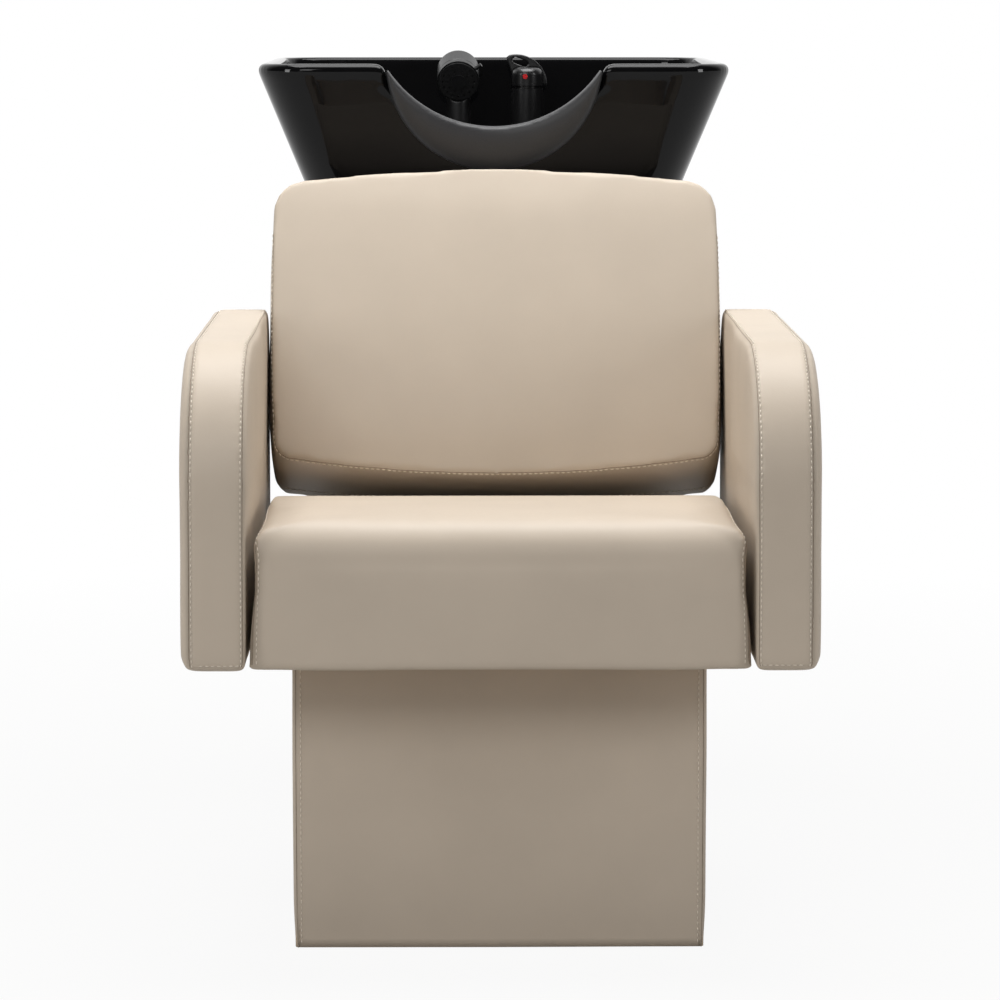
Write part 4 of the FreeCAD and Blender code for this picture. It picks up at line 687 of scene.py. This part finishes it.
for side, word in ((-1, "left"), (1, "right")):
    node = f"arm_{word}_cushion"
    low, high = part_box(node)
    inner = side * min(abs(low.x), abs(high.x))
    outer = inner + side * ARM_STRIP
    arm = foam_filled(f"arm_{word}_cover", node, Matrix.Identity(4), cap=0.0018, rounds=2)
    # The inner panel's foam stands proud of its seam where neither seat nor backrest bears on it
    for vert in arm.data.vertices:
        inward = held(1 - abs(vert.co.x - inner) / ARM_INNER_DEPTH)
        front, down = vert.co.y - low.y, high.z - vert.co.z
        past = math.hypot(max(ARM_FRONT_ROUND - front, 0.0), max(ARM_FRONT_ROUND - down, 0.0))
        edge = max(min(front, down, ARM_FRONT_ROUND - past), 0.0)
        free = held((vert.co.z - ARM_SWELL_FOOT) / ARM_SWELL_RISE)
        free *= held((high.y - ARM_SWELL_REAR - vert.co.y) / ARM_SWELL_RUN)
        vert.co.x -= side * ARM_INNER_SWELL * inward * (1 - math.exp(-edge / ARM_INNER_SHOULDER)) * free
    seams = [arm_profile(inner + side * ARM_SEAM_INSET, low, high), arm_profile(outer, low, high)]
    sink_seams(arm, seams, depth=0.0016, width=0.0032)
    upholster(arm, node)
    hem = [Vector((x, low.y, low.z + ARM_FOOT_HEM))
           for x in (inner + side * ARM_HEM_INNER, outer - side * ARM_HEM_OUTER)]
    stitched(f"arm_{word}_topstitch", [arm_profile(inner + side * ARM_INNER_STITCH, low, high),
                                       arm_profile(outer - side * ARM_OUTER_STITCH, low, high), hem], arm)
    seam_lines(f"arm_{word}_seams", seams, arm)


# Backrest
# A crowned foam cushion leaning back, with a vinyl panel sewn to a boxed border all round and topstitched.
# A second row runs where the border meets the closing panel behind, a board wrapped in the same vinyl.

RECLINE = math.radians(22)
BACK_HALF_WIDTH = 0.2606
BACK_TOP_HALF_WIDTH = 0.259
BACK_FOOT_HALF_WIDTH = 0.256
BACK_HEIGHT = 0.373
BACK_TOP_ARCH = 0.012
BACK_FOOT_BOW = 0.020
BACK_TOP_CORNER = 0.040
BACK_FOOT_CORNER = 0.026
BACK_CROWN_ACROSS = 0.014
BACK_CROWN_UP = 0.012
BACK_THICKNESS = 0.134
BACK_FOOT_PLACE = 0.432
BACK_FOOT_HEIGHT = 0.474
foot_place = Matrix.Translation((0.0, cad_low.y + BACK_FOOT_PLACE, BACK_FOOT_HEIGHT))
lean = foot_place @ Matrix.Rotation(-RECLINE, 4, "X")
back = foam_filled("backrest_cover", "backrest_cushion", lean, cap=0.0026, rounds=1)
# The border is deeper at the ends, where its lower edge runs straight behind the panel's bowed one, and
# fills the room between the arms
BACK_PANEL_DEPTH = 0.03
BACK_BORDER_REACH = 0.09
BACK_BORDER_FALL = 0.95
BACK_BORDER_DROP = 0.004
BACK_BORDER_SPREAD = 0.018
for vert in back.data.vertices:
    p = lean.inverted() @ vert.co
    low_down = held(1 - p.z / BACK_BORDER_REACH)
    behind = held((p.y - BACK_PANEL_DEPTH) / (BACK_THICKNESS - BACK_PANEL_DEPTH))
    fall = BACK_BORDER_FALL * BACK_FOOT_BOW * (p.x / BACK_HALF_WIDTH) ** 2
    p.z -= (BACK_BORDER_DROP + fall) * low_down * behind
    below = held(1 - 2 * p.z / BACK_HEIGHT)
    p.x *= 1 + BACK_BORDER_SPREAD * below * min(3 * behind, 1.0)
    vert.co = lean @ p
BACK_STITCH_OUT = 0.001
BACK_STITCH_DEPTH = 0.0050
BACK_REAR_ROW = 0.026
# Points of an edge's half that lie along its foot
BACK_FOOT_POINTS = 14


def back_edge(out, depth, whole):
    """The panel's edge, shoulder to shoulder round the foot or its foot alone, so far out and behind."""
    foot, shoulder = BACK_FOOT_BOW, BACK_HEIGHT - BACK_TOP_ARCH
    half = []
    for step in range(11):
        half.append(((BACK_FOOT_HALF_WIDTH - BACK_FOOT_CORNER) * step / 10, foot * (step / 10) ** 2))
    for turn in range(1, 7):
        angle = math.radians(15 * turn)
        half.append((BACK_FOOT_HALF_WIDTH - BACK_FOOT_CORNER * (1 - math.sin(angle)),
                     foot + BACK_FOOT_CORNER * (1 - math.cos(angle))))
    rise = shoulder - foot - BACK_FOOT_CORNER - BACK_TOP_CORNER
    swell = BACK_HALF_WIDTH - (BACK_FOOT_HALF_WIDTH + BACK_TOP_HALF_WIDTH) / 2
    for step in range(1, 10):
        up = step / 10
        straight = BACK_FOOT_HALF_WIDTH + (BACK_TOP_HALF_WIDTH - BACK_FOOT_HALF_WIDTH) * up
        half.append((straight + swell * 4 * up * (1 - up), foot + BACK_FOOT_CORNER + rise * up))
    if not whole:
        half = [(x, (1 - BACK_BORDER_FALL) * up) for x, up in half[:BACK_FOOT_POINTS]]
    middle = BACK_HEIGHT / 2
    points = []
    for x, up in [(-x, up) for x, up in half[::-1]] + half:
        crown = BACK_CROWN_ACROSS * (x / BACK_HALF_WIDTH) ** 2
        crown += BACK_CROWN_UP * ((up - middle) / middle) ** 2
        across = x * (1 + out / BACK_HALF_WIDTH)
        height = middle + (up - middle) * (1 + out / middle)
        points.append(lean @ Vector((across, crown + depth if whole else depth, height)))
    return points


panel_edge = back_edge(0.0, 0.001, True)
sink_seams(back, [panel_edge], depth=0.0018, width=0.0035)
upholster(back, "backrest_cushion")
stitched("backrest_topstitch", [back_edge(BACK_STITCH_OUT, BACK_STITCH_DEPTH, True),
                                back_edge(BACK_STITCH_OUT, BACK_THICKNESS - BACK_REAR_ROW, False)], back)
seam_lines("backrest_seams", [panel_edge], back)
finish_nodes(taupe_vinyl, "backrest_board")


# Bowl column and the rest of the pedestal's box
# Particle board faced and edged with black melamine: the column behind the seat, its service cover held on
# by screws, and the pedestal's top, sides and rear. The facing has a fine dull texture.

melamine = mottled("black_melamine_board", "#161616", "#201F1F", 0.0015, 0.42, relief=0.12)
finish_nodes(melamine, "column_front_panel", "column_left_panel", "column_right_panel", "column_rear_cover",
             "column_top_board", "pedestal_rear_panel", "pedestal_top_board", "pedestal_left_board",
             "pedestal_right_board")


# Tilt joint
# Two bent plates with ears, one screwed to the column and one under the bowl, turned on pins and locked by
# a moulded lever. The plates are powder coated like the rails, and the bowl lies on soft rubber pads.

finish_nodes(powder_coat, "tilt_base", "tilt_cradle")
# Glass-filled nylon with a spark-eroded mould texture of 0.9 mm
nylon = mottled("moulded_black_nylon", "#141415", "#1C1C1D", 0.0009, 0.42, relief=0.15)
finish_nodes(nylon, "tilt_clamp_lever", "drain_nut", "trap_body", "shower_holder_nut")


# Bowl
# Vitreous china, slip cast and fired with a deep black glaze: a hard mirror coat that pools slightly, so
# that straight reflections waver.

glaze, tree, shader, spot = new_material("black_glazed_china")
# Glaze flow, waves about 45 mm long, with a fine peel of 6 mm over them
flow = add(tree, "ShaderNodeTexNoise", {"Scale": 1 / 0.045, "Detail": 1.0}, Vector=spot)
peel = add(tree, "ShaderNodeTexNoise", {"Scale": 1 / 0.006, "Detail": 1.0}, Vector=spot)
waves = add(tree, "ShaderNodeMath", {"operation": "MULTIPLY_ADD", 1: 0.04}, i0=peel.outputs["Fac"],
            i2=flow.outputs["Fac"])
raised(tree, shader, waves.outputs[0], 0.10, 0.003)
two_tones(tree, shader, flow.outputs["Fac"], "#070708", "#0D0D0E")
shader.inputs["Roughness"].default_value = 0.045
shader.inputs["IOR"].default_value = 1.27


def softened(name, node, body, material, voxel, rounds):
    """A moulded copy of a solid with its edges eased, put in the solid's place."""
    bm = bmesh.new()
    bm.from_mesh(nodes[node].data)
    bmesh.ops.remove_doubles(bm, verts=bm.verts, dist=1e-6)
    piece = new_piece(name, bm)
    regridded(piece, voxel)
    bm = bmesh.new()
    bm.from_mesh(piece.data)
    eased(bm, rounds)
    bm.to_mesh(piece.data)
    bm.free()
    piece.data.update()
    piece.data.materials.clear()
    piece.data.materials.append(material)
    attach(piece, body)
    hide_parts(node)
    return piece


softened("basin_casting", "basin", "bowl_unit", glaze, 0.0036, 8)


# Neck rest
# Soft rubber, compression moulded in one piece and pushed over the notch in the bowl's rim: dull charcoal
# with a faint skin and rounded lips that catch the light.

# Mould skin of 1.2 mm and slow blooming of the surface
rubber = mottled("moulded_charcoal_rubber", "#1C1C1E", "#252527", 0.0012, 0.50, relief=0.2)
NECK_RIM = 0.930
NECK_AXIS = 1.006
NECK_RADIUS = 0.151
NECK_APRON_RADIUS = 0.128
NECK_TAPER = 0.30
NECK_APRON = 0.0135
NECK_ROLL = 0.0110
rest = softened("neck_rest_moulding", "neck_rest", "bowl_unit", rubber, 0.0020, 5)
apron_front = min(v.co.y - NECK_TAPER * (NECK_RIM - v.co.z) for v in rest.data.vertices)
# The apron's face is full in the middle and rolls back to the throat and to its own outline
for vert in rest.data.vertices:
    above = max(math.hypot(vert.co.x, vert.co.z - NECK_AXIS) - NECK_RADIUS, 0.0)
    below = max(NECK_APRON_RADIUS - math.hypot(vert.co.x, vert.co.z - NECK_RIM), 0.0)
    share = 2 * above / (above + below) - 1 if above + below > 0 else 0.0
    deep = max(vert.co.y - NECK_TAPER * (NECK_RIM - vert.co.z) - apron_front, 0.0)
    if deep < NECK_APRON:
        vert.co.y += NECK_ROLL * (1 - math.sqrt(1 - share * share)) * (1 - deep / NECK_APRON)
rest.data.update()
finish_nodes(rubber, "cradle_pads", "drain_gasket")


# Waste
# A pressed and polished stainless flange and strainer in the bowl's floor.

# Polish lines of about 4 mm
stainless = mottled("polished_stainless_steel", "#B4B5B5", "#C9C9C8", 0.004, 0.16, metallic=1.0)
finish_nodes(stainless, "drain_flange", "hair_strainer", "mixer_inlet_tails")


# Mixer tap
# Cast brass with a satin black coat, a domed cap over the cartridge and a looped lever, an enamelled red
# dot for temperature. The locknut below the deck is bare turned brass.

satin_black = mottled("satin_black_coated_brass", "#0F0F10", "#171718", 0.0012, 0.30)
finish_nodes(satin_black, "mixer_base_ring", "mixer_body", "mixer_cartridge", "mixer_cap")
softened("mixer_lever_casting", "mixer_lever", "mixer_lift", satin_black, 0.0008, 5)
finish_nodes(mottled("red_enamel", "#B01218", "#C81C20", 0.002, 0.25), "temperature_mark")
finish_nodes(mottled("turned_brass", "#B48E42", "#C6A052", 0.002, 0.30, metallic=1.0), "mixer_locknut")


# Hand shower
# Moulded ABS with a satin skin: a handle that stands in its holder, a drum head with a selector ring, and
# a spray face of dark silicone with a centre cap.

satin_abs = mottled("satin_black_abs", "#131314", "#1A1A1B", 0.0010, 0.36, relief=0.1)
for node in ("shower_handle", "shower_head"):
    softened(f"{node}_moulding", node, "hand_shower", satin_abs, 0.0010, 3)
finish_nodes(satin_abs, "shower_holder", "spray_centre_cap", "spray_selector_ring")
finish_nodes(mottled("dark_spray_silicone", "#0C0C0D", "#121213", 0.0010, 0.5), "spray_plate")


low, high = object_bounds()
